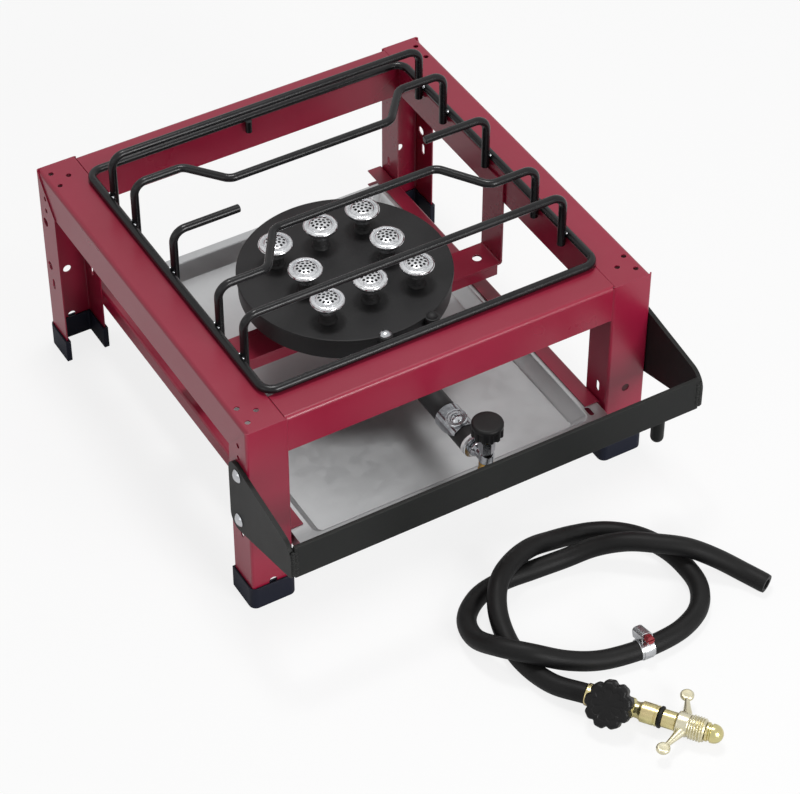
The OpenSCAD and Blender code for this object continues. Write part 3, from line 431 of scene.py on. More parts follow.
def useGroup(tree, name, **values):
    made = tree.nodes.new("ShaderNodeGroup")
    made.node_tree = groups[name]
    for label, value in values.items():
        plug(tree, value, made.inputs[label.replace("_", " ")])
    return made.outputs


def colour(red, green, blue):
    # a colour as a painter names it, 0 to 255, in Blender's linear values
    parts = [c / 255 for c in (red, green, blue)]
    return tuple(c / 12.92 if c <= 0.04045 else ((c + 0.055) / 1.055) ** 2.4 for c in parts) + (1,)


# Finishes

# a finish's edge entry (amount, tone, radius) paints a lighter highlight along its sharp edges
looks = {
    "winePaint": {
        "slot": "frame_paint", "tones": ((138, 16, 46), (146, 20, 54)), "drift": 9, "contrast": 1.6,
        "gloss": (0.24, 0.36), "dust": 0.03, "grain": 420, "relief": 0.1, "depth": 0.0003,
        "edgeLight": (0.25, (196, 90, 120), 0.0008)},
    "wireEnamel": {
        "slot": "wire_enamel", "tones": ((13, 13, 15), (19, 19, 21)), "drift": 30, "shine": 0.3,
        "gloss": (0.2, 0.32), "dust": 0.01, "grain": 300, "relief": 0.16, "depth": 0.0004},
    "castBlack": {
        "slot": "burner_black", "tones": ((26, 26, 28), (32, 32, 33)), "drift": 11, "contrast": 2.2,
        "shine": 0.28, "gloss": (0.42, 0.56), "dust": 0.02, "grain": 700, "relief": 0.3, "depth": 0.0004,
        "lines": (120, (1, 1, 1), 0.5), "edgeLight": (0.3, (84, 84, 84), 0.0008)},
    "guardPaint": {
        "slot": "guard_black", "tones": ((26, 27, 27), (32, 33, 32)), "drift": 16, "shine": 0.12,
        "gloss": (0.38, 0.5), "dust": 0.02, "grain": 500, "relief": 0.25, "depth": 0.0003,
        "edgeLight": (0.5, (88, 88, 86), 0.001)},
    "footRubber": {
        "slot": "foot_rubber", "tones": ((17, 20, 34), (22, 26, 40)), "drift": 20, "shine": 0.2,
        "gloss": (0.5, 0.66), "dust": 0.03, "grain": 1500, "relief": 0.3},
    "boltChrome": {
        "slot": "bolt_chrome", "tones": ((205, 207, 210), (178, 180, 184)), "drift": 60, "metal": 1,
        "gloss": (0.16, 0.32), "dust": 0.02, "grain": 800, "relief": 0.08, "lines": (900, (1, 1, 0.1), 0.6)},
    "headChrome": {
        "slot": "head_chrome", "tones": ((232, 233, 235), (206, 208, 211)), "drift": 70, "metal": 1,
        "gloss": (0.14, 0.3), "dust": 0.02, "grain": 900, "relief": 0.1},
    "valveChrome": {
        "slot": "bolt_chrome", "tones": ((176, 178, 182), (112, 114, 118)), "drift": 80, "contrast": 3,
        "metal": 1, "gloss": (0.1, 0.26), "dust": 0.02, "grain": 500, "relief": 0.14},
    "rawBrass": {
        "slot": "brass", "tones": ((196, 158, 84), (160, 124, 62)), "drift": 90, "contrast": 2.5,
        "metal": 1, "gloss": (0.2, 0.36), "dust": 0.03, "grain": 700, "relief": 0.12,
        "lines": (1400, (0.1, 0.1, 1), 0.5)},
    "knobPlastic": {
        "slot": "knob_plastic", "tones": ((10, 10, 11), (15, 15, 16)), "drift": 60, "shine": 0.18,
        "gloss": (0.34, 0.48), "dust": 0.02, "grain": 2600, "relief": 0.3, "depth": 0.0001,
        "edgeLight": (0.3, (74, 74, 76), 0.0006)},
    "galvanisedSheet": {     # zinc crystals of slightly different tone, and faint lines from the rolling mill
        "slot": "tray_zinc", "tones": ((197, 198, 199), (191, 192, 193)), "drift": 3, "contrast": 0.6,
        "metal": 1, "gloss": (0.35, 0.38), "dust": 0.03, "grain": 300, "relief": 0.06, "depth": 0.0003,
        "crystals": (110, (205, 208, 210)), "lines": (500, (1, 0.03, 1), 0.7)},
    # an even white on a ring that is polished chrome: a painted highlight
    "glintWhite": {
        "slot": "bolt_chrome", "tones": ((232, 233, 234), (218, 219, 221)), "drift": 90,
        "gloss": (0.3, 0.44), "dust": 0.02, "grain": 900, "relief": 0.12},
    "hoseRubber": {
        "slot": "hose_rubber", "tones": ((9, 9, 10), (13, 13, 14)), "drift": 40, "shine": 0.18,
        "gloss": (0.42, 0.56), "dust": 0.02, "grain": 1800, "relief": 0.4, "lines": (260, (1, 1, 1), 0.8)},
    "clampSteel": {
        "slot": "clamp_steel", "tones": ((200, 202, 204), (176, 178, 181)), "drift": 70, "metal": 1,
        "gloss": (0.2, 0.34), "dust": 0.02, "grain": 900, "relief": 0.12, "lines": (1500, (1, 1, 0.08), 0.9)},
    "screwRed": {
        "slot": "screw_red", "tones": ((150, 22, 34), (122, 16, 28)), "drift": 120, "metal": 0.2, "coat": 0.4,
        "gloss": (0.28, 0.42), "dust": 0.02, "grain": 1200, "relief": 0.15},
    "goldZinc": {     # yellow-passivated plating: pale gold that shifts to green and pink
        "slot": "gold_zinc", "tones": ((222, 208, 146), (196, 182, 120)), "drift": 60, "contrast": 2.6,
        "metal": 1, "gloss": (0.16, 0.3), "dust": 0.02, "grain": 800, "relief": 0.12,
        "tint": ((214, 186, 170), (190, 206, 160), 38), "lines": (1200, (1, 1, 0.1), 0.4)},
    "wingZinc": {
        "slot": "gold_zinc", "tones": ((224, 219, 196), (204, 196, 160)), "drift": 50, "contrast": 2.4,
        "metal": 1, "gloss": (0.22, 0.38), "dust": 0.02, "grain": 500, "relief": 0.22, "depth": 0.0003},
}


dustTone = (190, 186, 180)


def driftingTones(tree, tones, scale, contrast):
    first, second = (colour(*tone) for tone in tones)
    return useGroup(tree, "toneDrift", Color=first, Second_Color=second, Scale=scale, Contrast=contrast)


def newFinish(name, look):
    material = bpy.data.materials.new(name)
    material.use_nodes = True
    tree = material.node_tree
    tree.nodes.clear()
    # what every finish has: two drifting tones, dust, uneven gloss and a fine relief
    drift = driftingTones(tree, look["tones"], look["drift"], look.get("contrast", 2))
    dust = useGroup(tree, "dustVeil", Color=drift["Color"], Dust_Color=colour(*dustTone), Amount=look["dust"])
    base = dust["Color"]
    low, high = look["gloss"]
    gloss = mathNode(tree, "ADD", mathNode(tree, "MULTIPLY", drift["Mask"], high - low), low)
    gloss = mathNode(tree, "ADD", gloss, dust["Mask"])
    height = useGroup(tree, "fineGrain", Scale=look["grain"])["Height"]
    # what only some have
    if "crystals" in look:
        scale, tone = look["crystals"]
        where = addNode(tree, "ShaderNodeTexCoord")["Object"]
        crystals = addNode(tree, "ShaderNodeTexVoronoi", Scale=scale, Vector=where)["Color"]
        grey = addNode(tree, "ShaderNodeSeparateColor", Color=crystals)
        gloss = mathNode(tree, "ADD", gloss, mathNode(tree, "MULTIPLY", grey["Red"], 0.03))
        share = mathNode(tree, "MULTIPLY", grey["Green"], 0.07)
        base = mixColours(tree, share, base, colour(*tone), "MULTIPLY")
    if "tint" in look:
        first, second, scale = look["tint"]
        base = mixColours(tree, 0.3, base, driftingTones(tree, (first, second), scale, 4)["Color"])
    if "lines" in look:
        scale, stretch, high = look["lines"]
        lines = useGroup(tree, "brushLines", Scale=scale, Stretch=stretch, Height=high)
        height = mathNode(tree, "ADD", height, lines["Height"])
    # a lighter tone mixed in along sharp edges: a painted highlight
    if "edgeLight" in look:
        amount, tone, width = look["edgeLight"]
        edgeLight = useGroup(tree, "paintedEdgeLight", Width=width, Amount=amount)
        base = mixColours(tree, edgeLight["Mask"], base, colour(*tone))
    bump = addNode(tree, "ShaderNodeBump", Strength=look["relief"], Distance=look.get("depth", 0.0002),
                   Height=height)
    shader = addNode(
        tree, "ShaderNodeBsdfPrincipled", Base_Color=base, Roughness=gloss, Normal=bump["Normal"],
        Metallic=look.get("metal", 0), Specular_IOR_Level=look.get("shine", 0.5),
        Coat_Weight=look.get("coat", 0), Coat_Roughness=0.08)
    plug(tree, shader["BSDF"], tree.nodes.new("ShaderNodeOutputMaterial").inputs["Surface"])
    return material


finishes = {name: newFinish(name, look) for name, look in looks.items()}
print("finishes:", len(finishes))


# Camera, floor and light

cameraView = {"place": (-0.9372, -1.6570, 1.8212), "heading": 30.56, "dip": 43.34, "tilt": 0.15,
              "lens": 128.07}


def placeCamera(view):
    heading, dip, tilt = (math.radians(view[k]) for k in ("heading", "dip", "tilt"))
    ahead = Vector((math.sin(heading) * math.cos(dip), math.cos(heading) * math.cos(dip), -math.sin(dip)))
    level = Vector((math.cos(heading), -math.sin(heading), 0))
    up = level.cross(ahead)
    right = level * math.cos(tilt) + up * math.sin(tilt)
    over = up * math.cos(tilt) - level * math.sin(tilt)
    data = bpy.data.cameras.new("camera")
    data.lens = view["lens"]
    data.sensor_width = 36
    data.sensor_fit = "HORIZONTAL"
    camera = bpy.data.objects.new("camera", data)
    camera.matrix_world = axes(view["place"], right, over, -ahead)
    bpy.context.collection.objects.link(camera)
    bpy.context.scene.camera = camera


def whiteToCamera(tree, strength, mirrored):
    # the share of white that the camera or glass sees, and the share that shows in glossy surfaces
    path = addNode(tree, "ShaderNodeLightPath")
    glossy = mathNode(tree, "MULTIPLY", path["Is Glossy Ray"], mirrored)
    seen = mathNode(tree, "MAXIMUM", path["Is Camera Ray"], path["Is Transmission Ray"])
    return mathNode(tree, "MAXIMUM", mathNode(tree, "MULTIPLY", seen, strength), glossy)


floor = {"size": 6.0, "tone": 0.86, "glow": 0.82, "mirrored": 0.12}


def makeStage():
    bm = bmesh.new()
    bmesh.ops.create_grid(bm, x_segments=4, y_segments=4, size=floor["size"] / mm)
    plane = newObject("floor", bm)
    material = bpy.data.materials.new("floorWhite")
    material.use_nodes = True
    tree = material.node_tree
    tree.nodes.clear()
    mix = tree.nodes.new("ShaderNodeMixShader")
    plug(tree, whiteToCamera(tree, floor["glow"], floor["mirrored"]), mix.inputs["Fac"])
    dull = addNode(tree, "ShaderNodeBsdfDiffuse", Color=(floor["tone"],) * 3 + (1,))
    plug(tree, dull["BSDF"], mix.inputs[1])
    plug(tree, addNode(tree, "ShaderNodeEmission", Color=(1, 1, 1, 1))["Emission"], mix.inputs[2])
    plug(tree, mix.outputs["Shader"], tree.nodes.new("ShaderNodeOutputMaterial").inputs["Surface"])
    plane.data.materials.append(material)


sky = {"fill": 0.3, "mirrored": 0.85}     # what lights the object and shows in gloss; the camera sees white
lamps = {     # place, size, watts
    "key": ((0.4, -2.2, 1.0), 0.9, 33),
    "overhead": ((0.15, 0.35, 2.6), 0.6, 30),
    "left": ((-2.2, -0.6, 1.1), 1.0, 3),
}
lampTarget = (0, 0, 0.1)


def lightScene():
    world = bpy.data.worlds.new("studio")
    bpy.context.scene.world = world
    world.use_nodes = True
    tree = world.node_tree
    back = tree.nodes["Background"]
    back.inputs["Color"].default_value = (1, 1, 1, 1)
    fill = sky["fill"]
    white = whiteToCamera(tree, 1 - fill, sky["mirrored"] - fill)
    plug(tree, mathNode(tree, "ADD", white, fill), back.inputs["Strength"])
    for name, (place, size, watts) in lamps.items():
        data = bpy.data.lights.new(name, "AREA")
        data.shape = "SQUARE"
        data.size = size
        data.energy = watts
        lamp = bpy.data.objects.new(name, data)
        away = (Vector(place) - Vector(lampTarget)).normalized()
        lamp.matrix_world = Matrix.Translation(place) @ away.to_track_quat("Z", "Y").to_matrix().to_4x4()
        bpy.context.collection.objects.link(lamp)


bpy.context.scene.view_settings.view_transform = "Standard"
placeCamera(cameraView)
makeStage()
lightScene()


# Gas hose, from the regulator to its cut end

hose = {
    "diameter": 17.5, "bore": 9.0, "sides": 28, "perPoint": 7, "boreDepth": 26, "length": 979,
    "lead": 31,
    "route": [
        (-12, -397, 14), (-29, -371, 11), (-36, -340, 9), (-35, -310, 10), (-29, -284, 19),
        (-15, -263, 27), (6, -249, 28), (31, -240, 25), (57, -234, 15), (84, -234, 9),
        (109, -244, 9), (129, -262, 9), (141, -286, 9), (145, -312, 9), (142, -339, 9),
        (127, -361, 9), (103, -373, 9), (75, -377, 10), (46, -375, 10), (18, -369, 11),
        (-9, -360, 18), (-34, -346, 27), (-53, -325, 26), (-60, -298, 15), (-52, -271, 9),
        (-30, -254, 9), (-2, -249, 9), (27, -251, 9), (57, -255, 11), (84, -263, 19),
        (107, -278, 27), (128, -295, 29), (149, -311, 27), (168, -328, 19), (184, -348, 11),
        (194, -368, 9),
    ],
}
regulatorWay = Vector((0.6, -0.8, 0))


def smoothRoute(points, perPoint, lowest):
    # one smooth curve through all the points, that starts along the regulator's axis
    places = [Vector(p) for p in points]
    places = [places[0] + regulatorWay * hose["lead"]] + places + [2 * places[-1] - places[-2]]
    route = []
    for a, b, c, d in zip(places, places[1:], places[2:], places[3:]):
        for k in range(perPoint):
            t = k / perPoint
            square, cube = 2 * a - 5 * b + 4 * c - d, 3 * b - a - 3 * c + d
            point = 0.5 * (2 * b + (c - a) * t + square * t ** 2 + cube * t ** 3)
            point.z = max(point.z, lowest)
            route.append(point)
    return route + [places[-2]]


hoseRoute = smoothRoute(hose["route"], hose["perPoint"], hose["diameter"] / 2 + 0.05)


def makeHose():
    radius, bore = hose["diameter"] / 2, hose["bore"] / 2
    last = len(hoseRoute) - 1
    rings = tubeRings(hoseRoute, lambda i: radius if i < last else radius - 0.4, hose["sides"])
    mouth = tubeRings(hoseRoute, lambda i: bore + (0.3 if i == last else 0), hose["sides"])
    depth = [i for i in range(len(hoseRoute)) if (hoseRoute[i] - hoseRoute[last]).length < hose["boreDepth"]]
    rings += [mouth[i] for i in sorted(depth, reverse=True)]
    bm = bmesh.new()
    addLoft(bm, rings)
    return makePiece("gasHose", bm, "hoseRubber", "stand", ["gas_hose"], smooth=50)


gasHose = makeHose()


# Regulator, clamp and wing nut

def along(origin, direction, roll=0.0):
    # local Z runs along the direction
    z = Vector(direction).normalized()
    x = Vector((0, 0, 1)).cross(z).normalized() if abs(z.z) < 0.99 else Vector((1, 0, 0))
    return axes(origin, x, z.cross(x), z) @ Matrix.Rotation(roll, 4, "Z")


regulator = {
    "diameter": 18, "ferrule": 8, "bodyEnd": 48, "collarEnd": 64, "sealEnd": 67, "neckEnd": 79,
    "knobAt": 24, "knobTilt": 49, "knobDiameter": 42, "knobHeight": 15, "scallops": 9,
    "stem": 12, "thread": 21.5, "threadLength": 14, "hub": 11, "reach": 37, "coin": 6, "gap": 0.3,
    "nose": 15,
}
regulatorStart = Vector(hose["route"][0])
regulatorAxis = along(regulatorStart, regulatorWay)
regulatorFlat = axes(regulatorStart, regulatorWay, (0.8, 0.6, 0), (0, 0, 1))


def threadRings(radius, depth, pitch, low, high, steps, perTurn=8):
    # a screw thread: the ridge climbs one pitch in each turn
    rows = int((high - low) / pitch * perTurn)
    rings = []
    for i in range(rows + 1):
        z = low + (high - low) * i / rows
        fade = min(1, (z - low) / pitch * 1.5, (high - z) / pitch * 1.5)

        def reach(angle):
            ridge = abs(2 * (((z - low) / pitch - angle / full) % 1) - 1)
            return radius - depth * (1 - min(1, ridge * 1.25) * max(0.25, fade))
        rings.append(ringOf(reach, z, steps))
    return rings


def flutedRings(radiusAt, profile, steps):
    # rings of a knob whose outline is radiusAt(angle), drawn in by each inset of the profile
    return [ringOf(lambda angle: radiusAt(angle) - inset, height, steps) for inset, height in profile]


def makeRegulator():
    r = regulator["diameter"] / 2
    ring = hose["diameter"] / 2 + 1
    long = regulator["ferrule"]
    turnPiece("regulatorFerrule", [
        (5, 0), (ring - 1.2, 0), (ring - 0.4, 0.3), (ring, 1), (ring, long - 3.4), (ring - 0.5, long - 2.6),
        (ring - 1.1, long - 2), (ring - 1.1, long - 0.6), (ring - 1.6, long), (5, long)],
        regulatorAxis, 64, "goldZinc", "stand", ["regulator_ferrule"], loop=True)
    bm = bmesh.new()
    end, collar = regulator["bodyEnd"], regulator["collarEnd"]
    addLathe(bm, [(0, long), (r - 1.2, long), (r - 0.4, 8.6), (r, 10), (r, 40), (r - 0.3, 41.4), (r - 2, 43),
                  (r - 2, 46), (r - 1.6, end - 1), (r - 1, end + 0.4), (r - 0.2, end + 0.8), (r, end + 1.5),
                  (r, collar - 3.6), (r - 0.5, collar - 3.2), (r - 0.5, collar - 2.6), (r, collar - 2.2),
                  (r, collar - 1), (r - 1, collar), (0, collar)], regulatorAxis, 64)
    post = regulatorFlat @ Matrix.Translation((regulator["knobAt"], 0, 0))
    post = post @ Matrix.Rotation(math.radians(regulator["knobTilt"]), 4, "X")
    addLathe(bm, [(0, 0), (r - 1, 0), (r - 1, r - 0.2), (r - 1.6, r + 0.6), (0, r + 0.6)], post, 48)
    makePiece("regulatorBody", bm, "goldZinc", "stand", ["regulator_body"])
    rim, lobes = regulator["knobDiameter"] / 2, regulator["scallops"]
    base, top = r + 1, r + 1 + regulator["knobHeight"]

    def scallop(angle):
        valley = abs(math.cos(angle * lobes / 2))
        return rim - 0.3 - 2.6 * valley ** 6 - 0.25 * (1 - valley ** 0.7)
    profile = [(rim * 0.72, base + 1.2), (2.4, base), (1.2, base + 0.4), (0.2, base + 1.6), (0, base + 3),
               (0, top - 4), (0.4, top - 2.4), (1.3, top - 1), (2.6, top - 0.3), (3.8, top - 0.05),
               (6.2, top - 0.25), (7, top - 0.8), (7.8, top - 0.9), (12, top - 0.4), (rim - 0.8 - 2.6, top)]
    bm = bmesh.new()
    addLoft(bm, flutedRings(scallop, profile, 180), post)
    addLathe(bm, [(0, r / 2 + 1), (3, r / 2 + 1), (3, base + 1.3), (0, base + 1.3)], post, 24)
    makePiece("regulatorKnob", bm, "knobPlastic", "regulator_dial", ["regulator_knob"], smooth=40)
    s = regulator["stem"] / 2
    seal = regulator["sealEnd"]
    turnPiece("stemSeal", [(s, collar), (r - 0.1, collar), (r + 0.5, collar + 0.6), (r + 0.5, seal - 0.6),
                           (r - 0.1, seal), (s, seal)],
              regulatorAxis, 64, "hoseRubber", "stand", ["stem_seal"], loop=True)
    neck = regulator["neckEnd"]
    n = regulator["thread"] / 2 - 2.5
    z = neck + 2 * regulator["gap"] + regulator["hub"] + regulator["threadLength"]
    turnPiece("inletStem", [
        (0, collar), (s, collar), (s, seal), (s + 1.2, seal), (s + 1.8, seal + 0.6), (s + 1.8, neck - 0.6),
        (s + 1.2, neck), (s, neck), (s, z), (n - 1, z), (n - 0.2, z + 0.4), (n, z + 1.2), (n, z + 2.4),
        (n - 1.1, z + 3.2), (n - 1.1, z + 4.2), (n, z + 5)] + domePoints(n, regulator["nose"] - 7, z + 7, 10),
        regulatorAxis, 64, "goldZinc", "stand", ["inlet_stem"])


def makeWingNut():
    r = regulator["thread"] / 2
    start = regulator["neckEnd"] + regulator["gap"]
    hubEnd = start + regulator["hub"]
    end = hubEnd + regulator["threadLength"]
    bore = regulator["stem"] / 2 + 0.1
    steps = 72
    bm = bmesh.new()
    hub = ((bore, start), (r - 2, start), (r - 0.9, start + 0.6), (r - 0.5, start + 1.6),
           (r - 0.5, hubEnd - 1.4), (r - 1, hubEnd - 0.6), (r - 1.6, hubEnd - 0.2))
    rings = [ringOf(*p, steps) for p in hub] + threadRings(r, 1.3, 2.4, hubEnd, end - 0.6, steps, 10)
    addLoft(bm, rings + [ringOf(p, end, steps) for p in (r - 1.6, bore)], regulatorAxis, loop=True)
    rootAt = start + 0.6 * regulator["hub"]
    coin = regulator["coin"]
    tipAt, tipOut = rootAt - 8, regulator["reach"] - coin
    arm = ((0, 4.6, 4.2), (0.2, 4.0, 3.6), (0.45, 3.0, 2.9),      # share of the way, half sizes
           (0.7, 2.3, 2.4), (0.86, 2.2, 2.2), (1.0, 2.9, 2.2))
    for side in (-1, 1):
        root, tip = Vector((rootAt, side * (r - 3), 0)), Vector((tipAt, side * tipOut, 0))
        run = (tip - root).normalized()
        across = Vector((-run.y, run.x, 0))
        addLoft(bm, [ellipse(root.lerp(tip, share), across * wide, Vector((0, 0, thick)), 20)
                     for share, wide, thick in arm], regulatorFlat)
        # a thick coin to press with the thumb, slightly hollow on one face
        addLathe(bm, [(0, -2.6), (3.6, -2.5), (5.2, -2.0), (5.9, -1.0), (coin, 0), (5.9, 1.0), (5.2, 2.0),
                      (4.4, 2.35), (3.2, 2.2), (0, 2.3)],
                 regulatorFlat @ Matrix.Translation((tipAt, side * tipOut, 0)), 40)
    makePiece("wingNut", bm, "wingZinc", "wing", ["wing_nut"], smooth=45)


clamp = {"leg": 17, "lean": 20, "width": 13, "band": 0.8, "screw": 30, "worm": 3.2, "slots": 26}


def makeClamp():
    first, second = (Vector(hose["route"][clamp["leg"] + k]) for k in (0, 1))
    way = second - first
    place = Matrix.Translation((first + second) / 2) @ Matrix.Rotation(math.atan2(way.y, way.x), 4, "Z")
    place = place @ Matrix.Rotation(math.radians(clamp["lean"]), 4, "X")
    inner = hose["diameter"] / 2 - 0.15
    outer = inner + clamp["band"]
    half = clamp["width"] / 2
    wormZ = outer + clamp["worm"] + 1.2
    lay = place @ axes((0, 0, 0), (0, 0, -1), (0, 1, 0), (1, 0, 0))
    bm = bmesh.new()
    addLathe(bm, [(inner, -half), (outer - 0.25, -half), (outer, -half + 0.25), (outer, half - 0.25),
                  (outer - 0.25, half), (inner, half)], lay, 96, loop=True)
    cutter = bmesh.new()
    for k in range(clamp["slots"]):
        angle = full * (k + 0.5) / clamp["slots"]
        if abs(angle - math.pi) < 0.55:
            continue
        spot = lay @ Matrix.Rotation(angle, 4, "Z") @ Matrix.Translation((outer, 0, 0))
        addBlock(cutter, (-0.35, -0.45, -3.6), (1, 0.45, 3.6), spot @ Matrix.Rotation(0.12, 4, "X"))
    band = makePiece("hoseClamp", bm, "clampSteel", "stand", ["hose_clamp"], cutter=cutter, smooth=30)
    bm = bmesh.new()
    houseLong = 0.55 * clamp["screw"] / 2

    def arch(inset, rise, bend):
        wide, foot, top = half - inset, outer - 0.2, wormZ + rise
        path = roundedPath([(-wide, foot), (-wide, top), (wide, top), (wide, foot)], bend)
        return [p.to_2d() for p in path]
    across = place @ axes((0, -houseLong, 0), (1, 0, 0), (0, 0, 1), (0, 1, 0))
    addPrism(bm, arch(1, 4.2, 3.8) + arch(1.9, 3.3, 3.1)[::-1], across, 2 * houseLong)
    addLathe(bm, [(outer, -half + 2), (outer + 0.7, -half + 2), (outer + 0.7, half - 2), (outer, half - 2)],
             lay, 96, loop=True)
    housing = makePiece("clampHousing", bm, "clampSteel", "stand", bevel=0.15)
    bm = bmesh.new()
    length, worm = clamp["screw"], clamp["worm"]
    axle = place @ axes((0, -length / 2, wormZ), (1, 0, 0), (0, 0, -1), (0, 1, 0))
    steps = 32
    thread = threadRings(worm, 0.7, 1.6, 0.5, 0.72 * length, steps, 6)
    addLoft(bm, [ringOf(worm / 2, 0, steps)] + thread, axle)
    head = 0.775 * length + 0.3
    addLathe(bm, [(0, 0.7 * length), (2.4, 0.7 * length), (2.4, head), (0, head)], axle, 24)
    addLathe(bm, [(0, head), (worm + 0.5, head), (worm + 1, head + 0.6), (worm + 1, length - 0.8),
                  (worm + 0.6, length), (0, length)], axle, 6)
    slot = bmesh.new()
    addBlock(slot, (-worm - 2, -0.6, length - 1.5), (worm + 2, 0.6, length + 1), axle)
    screw = makePiece("clampScrew", bm, "screwRed", "worm", ["clamp_screw"], cutter=slot)
    return band, housing, screw


makeRegulator()
makeWingNut()
hoseClamp, clampHousing, clampScrew = makeClamp()
print("hose kit done")


# Stand: rails, legs, feet, runners and bridge

railPlan = {"sideWidth": 38.5, "endWidth": 33, "skirt": 38, "flange": 33, "outerBend": 3.4, "hole": 5,
            "holeIn": 9, "holeEnd": 13, "holePitch": 19, "holeSide": 13}
hands = ((-1, "left"), (1, "right"))
ends = ((-1, "front"), (1, "back"))
corners = [(x, y, depth + "_" + hand) for y, depth in ends for x, hand in hands]


def titled(kind, node):
    return kind + node.title().replace("_", "")


def frontAt(y):
    # for an outline in x and z that is drawn out along y
    return axes((0, y, 0), (1, 0, 0), (0, 0, 1), (0, 1, 0))


def sideAt(x):
    # for an outline in y and z that is drawn out along x
    return axes((x, 0, 0), (0, 1, 0), (0, 0, 1), (1, 0, 0))


def addDrill(bm, spot, way, diameter, length):
    place = along(spot, way) @ Matrix.Translation((0, 0, -length / 2))
    r = diameter / 2
    addLathe(bm, [(0, 0), (r, 0), (r, length), (0, length)], place, 28)


def railOutline(outer, inner):
    t = sheet["thick"]
    return sheetOutline([(inner + t / 2, railTop - railPlan["flange"]), (inner + t / 2, railTop - t / 2),
                         (outer - t / 2, railTop - t / 2), (outer - t / 2, railTop - railPlan["skirt"])],
                        t, [0, sheet["bend"] / 2, railPlan["outerBend"], 0])


def makeRails():
    t = sheet["thick"]
    plate = halfSide - t
    openX, openY = halfSide - railPlan["sideWidth"], halfSide - railPlan["endWidth"]
    under = railTop - railPlan["flange"] - 1
    for side, name in hands:
        bm, holes = bmesh.new(), bmesh.new()
        addPrism(bm, railOutline(plate, openX), frontAt(-plate), 2 * plate)
        for low, high in ((-plate - 1, -openY), (openY, plate + 1)):     # no flange behind the end rails
            addBlock(holes, (openX - 1, low, under), (openX + 4, high, railTop - t))
        edge = halfSide - railPlan["holeIn"]
        near = halfSide - railPlan["holeEnd"]
        for end in (-1, 1):
            for x, y in ((edge, near), (edge, near - railPlan["holePitch"]),
                         (edge - railPlan["holeSide"], near - railPlan["holePitch"] / 2)):
                addDrill(holes, (x, y * end, railTop), (0, 0, 1), railPlan["hole"], 8)
        makePiece(titled("topRail", name), bm, "winePaint", "stand", ["top_rail_" + name], holes,
                  toCorner(side, 1), sheet["edge"])
    for side, name in ends:
        bm, cuts = bmesh.new(), bmesh.new()
        skirt = plate - sheet["bend"]
        addPrism(bm, railOutline(plate, openY), sideAt(-skirt), 2 * skirt)
        # beside the side rails only the skirt goes on
        skirtTop = railTop - t - sheet["bend"]
        notch = [(openY - 1, under), (openY + 5, under), (openY + 5, skirtTop), (halfSide + 1, skirtTop),
                 (halfSide + 1, railTop + 1), (openY - 1, railTop + 1)]
        for start in (-plate - 1, openX):
            addPrism(cuts, notch, sideAt(start), plate + 1 - openX)
        makePiece(titled("topRail", name), bm, "winePaint", "stand", ["top_rail_" + name], cuts,
                  toCorner(1, side), sheet["edge"])


legPlan = {"width": 40, "depth": 32, "boltIn": 15, "floor": 3, "small": (24, 38), "bolts": (56, 108),
           "bolt": 9, "boltShift": (4, 2), "slotDrop": 126, "slot": (5, 12), "webHole": 8, "webHoleIn": 20,
           "relief": 25}
boltRow = halfSide - legPlan["boltIn"]
boltSpots = [(boltRow + legPlan["boltShift"][0], railTop - drop + legPlan["boltShift"][1])     # y and z
             for drop in legPlan["bolts"]]


def legOutline(thick, extra, bend):
    t = sheet["thick"]
    inner, outer = halfSide - legPlan["width"] + t / 2, halfSide - t / 2
    tail = halfSide - legPlan["depth"] - extra
    return sheetOutline([(inner, tail), (inner, outer), (outer, outer), (outer, tail)], thick, bend)


def makeLegs():
    inner, tail = halfSide - legPlan["width"], halfSide - legPlan["depth"] - 1
    slotZ = railTop - legPlan["slotDrop"]
    for sideX, sideY, name in corners:
        bm, holes = bmesh.new(), bmesh.new()
        addPrism(bm, legOutline(sheet["thick"], 0, sheet["bend"]),
                 Matrix.Translation((0, 0, legPlan["floor"])), railTop - legPlan["floor"])
        for drop in legPlan["small"]:
            addDrill(holes, (halfSide, boltRow, railTop - drop), (1, 0, 0), railPlan["hole"], 8)
        for y, z in boltSpots:
            addDrill(holes, (halfSide, y, z), (1, 0, 0), legPlan["bolt"], 8)
        for x in (halfSide, inner):
            addPrism(holes, slotPoints(boltRow, slotZ, *legPlan["slot"]), sideAt(x - 4), 8)
        for z in (slotZ, legPlan["relief"]):
            addDrill(holes, (halfSide - legPlan["webHoleIn"], halfSide, z), (0, 1, 0), legPlan["webHole"], 8)
        addBlock(holes, (inner - 1, tail, railTop - railPlan["flange"]),
                 (inner + 4, halfSide - sheet["thick"], railTop + 1))
        # cut slantwise where the side rail's skirt shows
        slant = [(halfSide - 2.5, railTop + 1), (halfSide - 2.5, railTop - 2),
                 (tail, railTop - railPlan["skirt"]), (tail, railTop + 1)]
        addPrism(holes, slant, sideAt(halfSide - sheet["thick"] - 0.4), 3)
        makePiece(titled("leg", name), bm, "winePaint", "stand", ["leg_" + name], holes,
                  toCorner(sideX, sideY), sheet["edge"])


footPlan = {"height": 24, "skin": 2, "floor": 3, "round": 0.9}


def makeFeet():
    skin = footPlan["skin"]
    for sideX, sideY, name in corners:
        bm, hollow = bmesh.new(), bmesh.new()
        addPrism(bm, legOutline(sheet["thick"] + 2 * skin, skin, sheet["bend"] + skin), Matrix(),
                 footPlan["height"])
        addPrism(hollow, legOutline(sheet["thick"] + 0.3, 0.3, sheet["bend"]),
                 Matrix.Translation((0, 0, footPlan["floor"])), footPlan["height"])
        makePiece(titled("foot", name), bm, "footRubber", "stand", ["foot_" + name], hollow,
                  toCorner(sideX, sideY), footPlan["round"], steps=3)


runnerWidth = 16


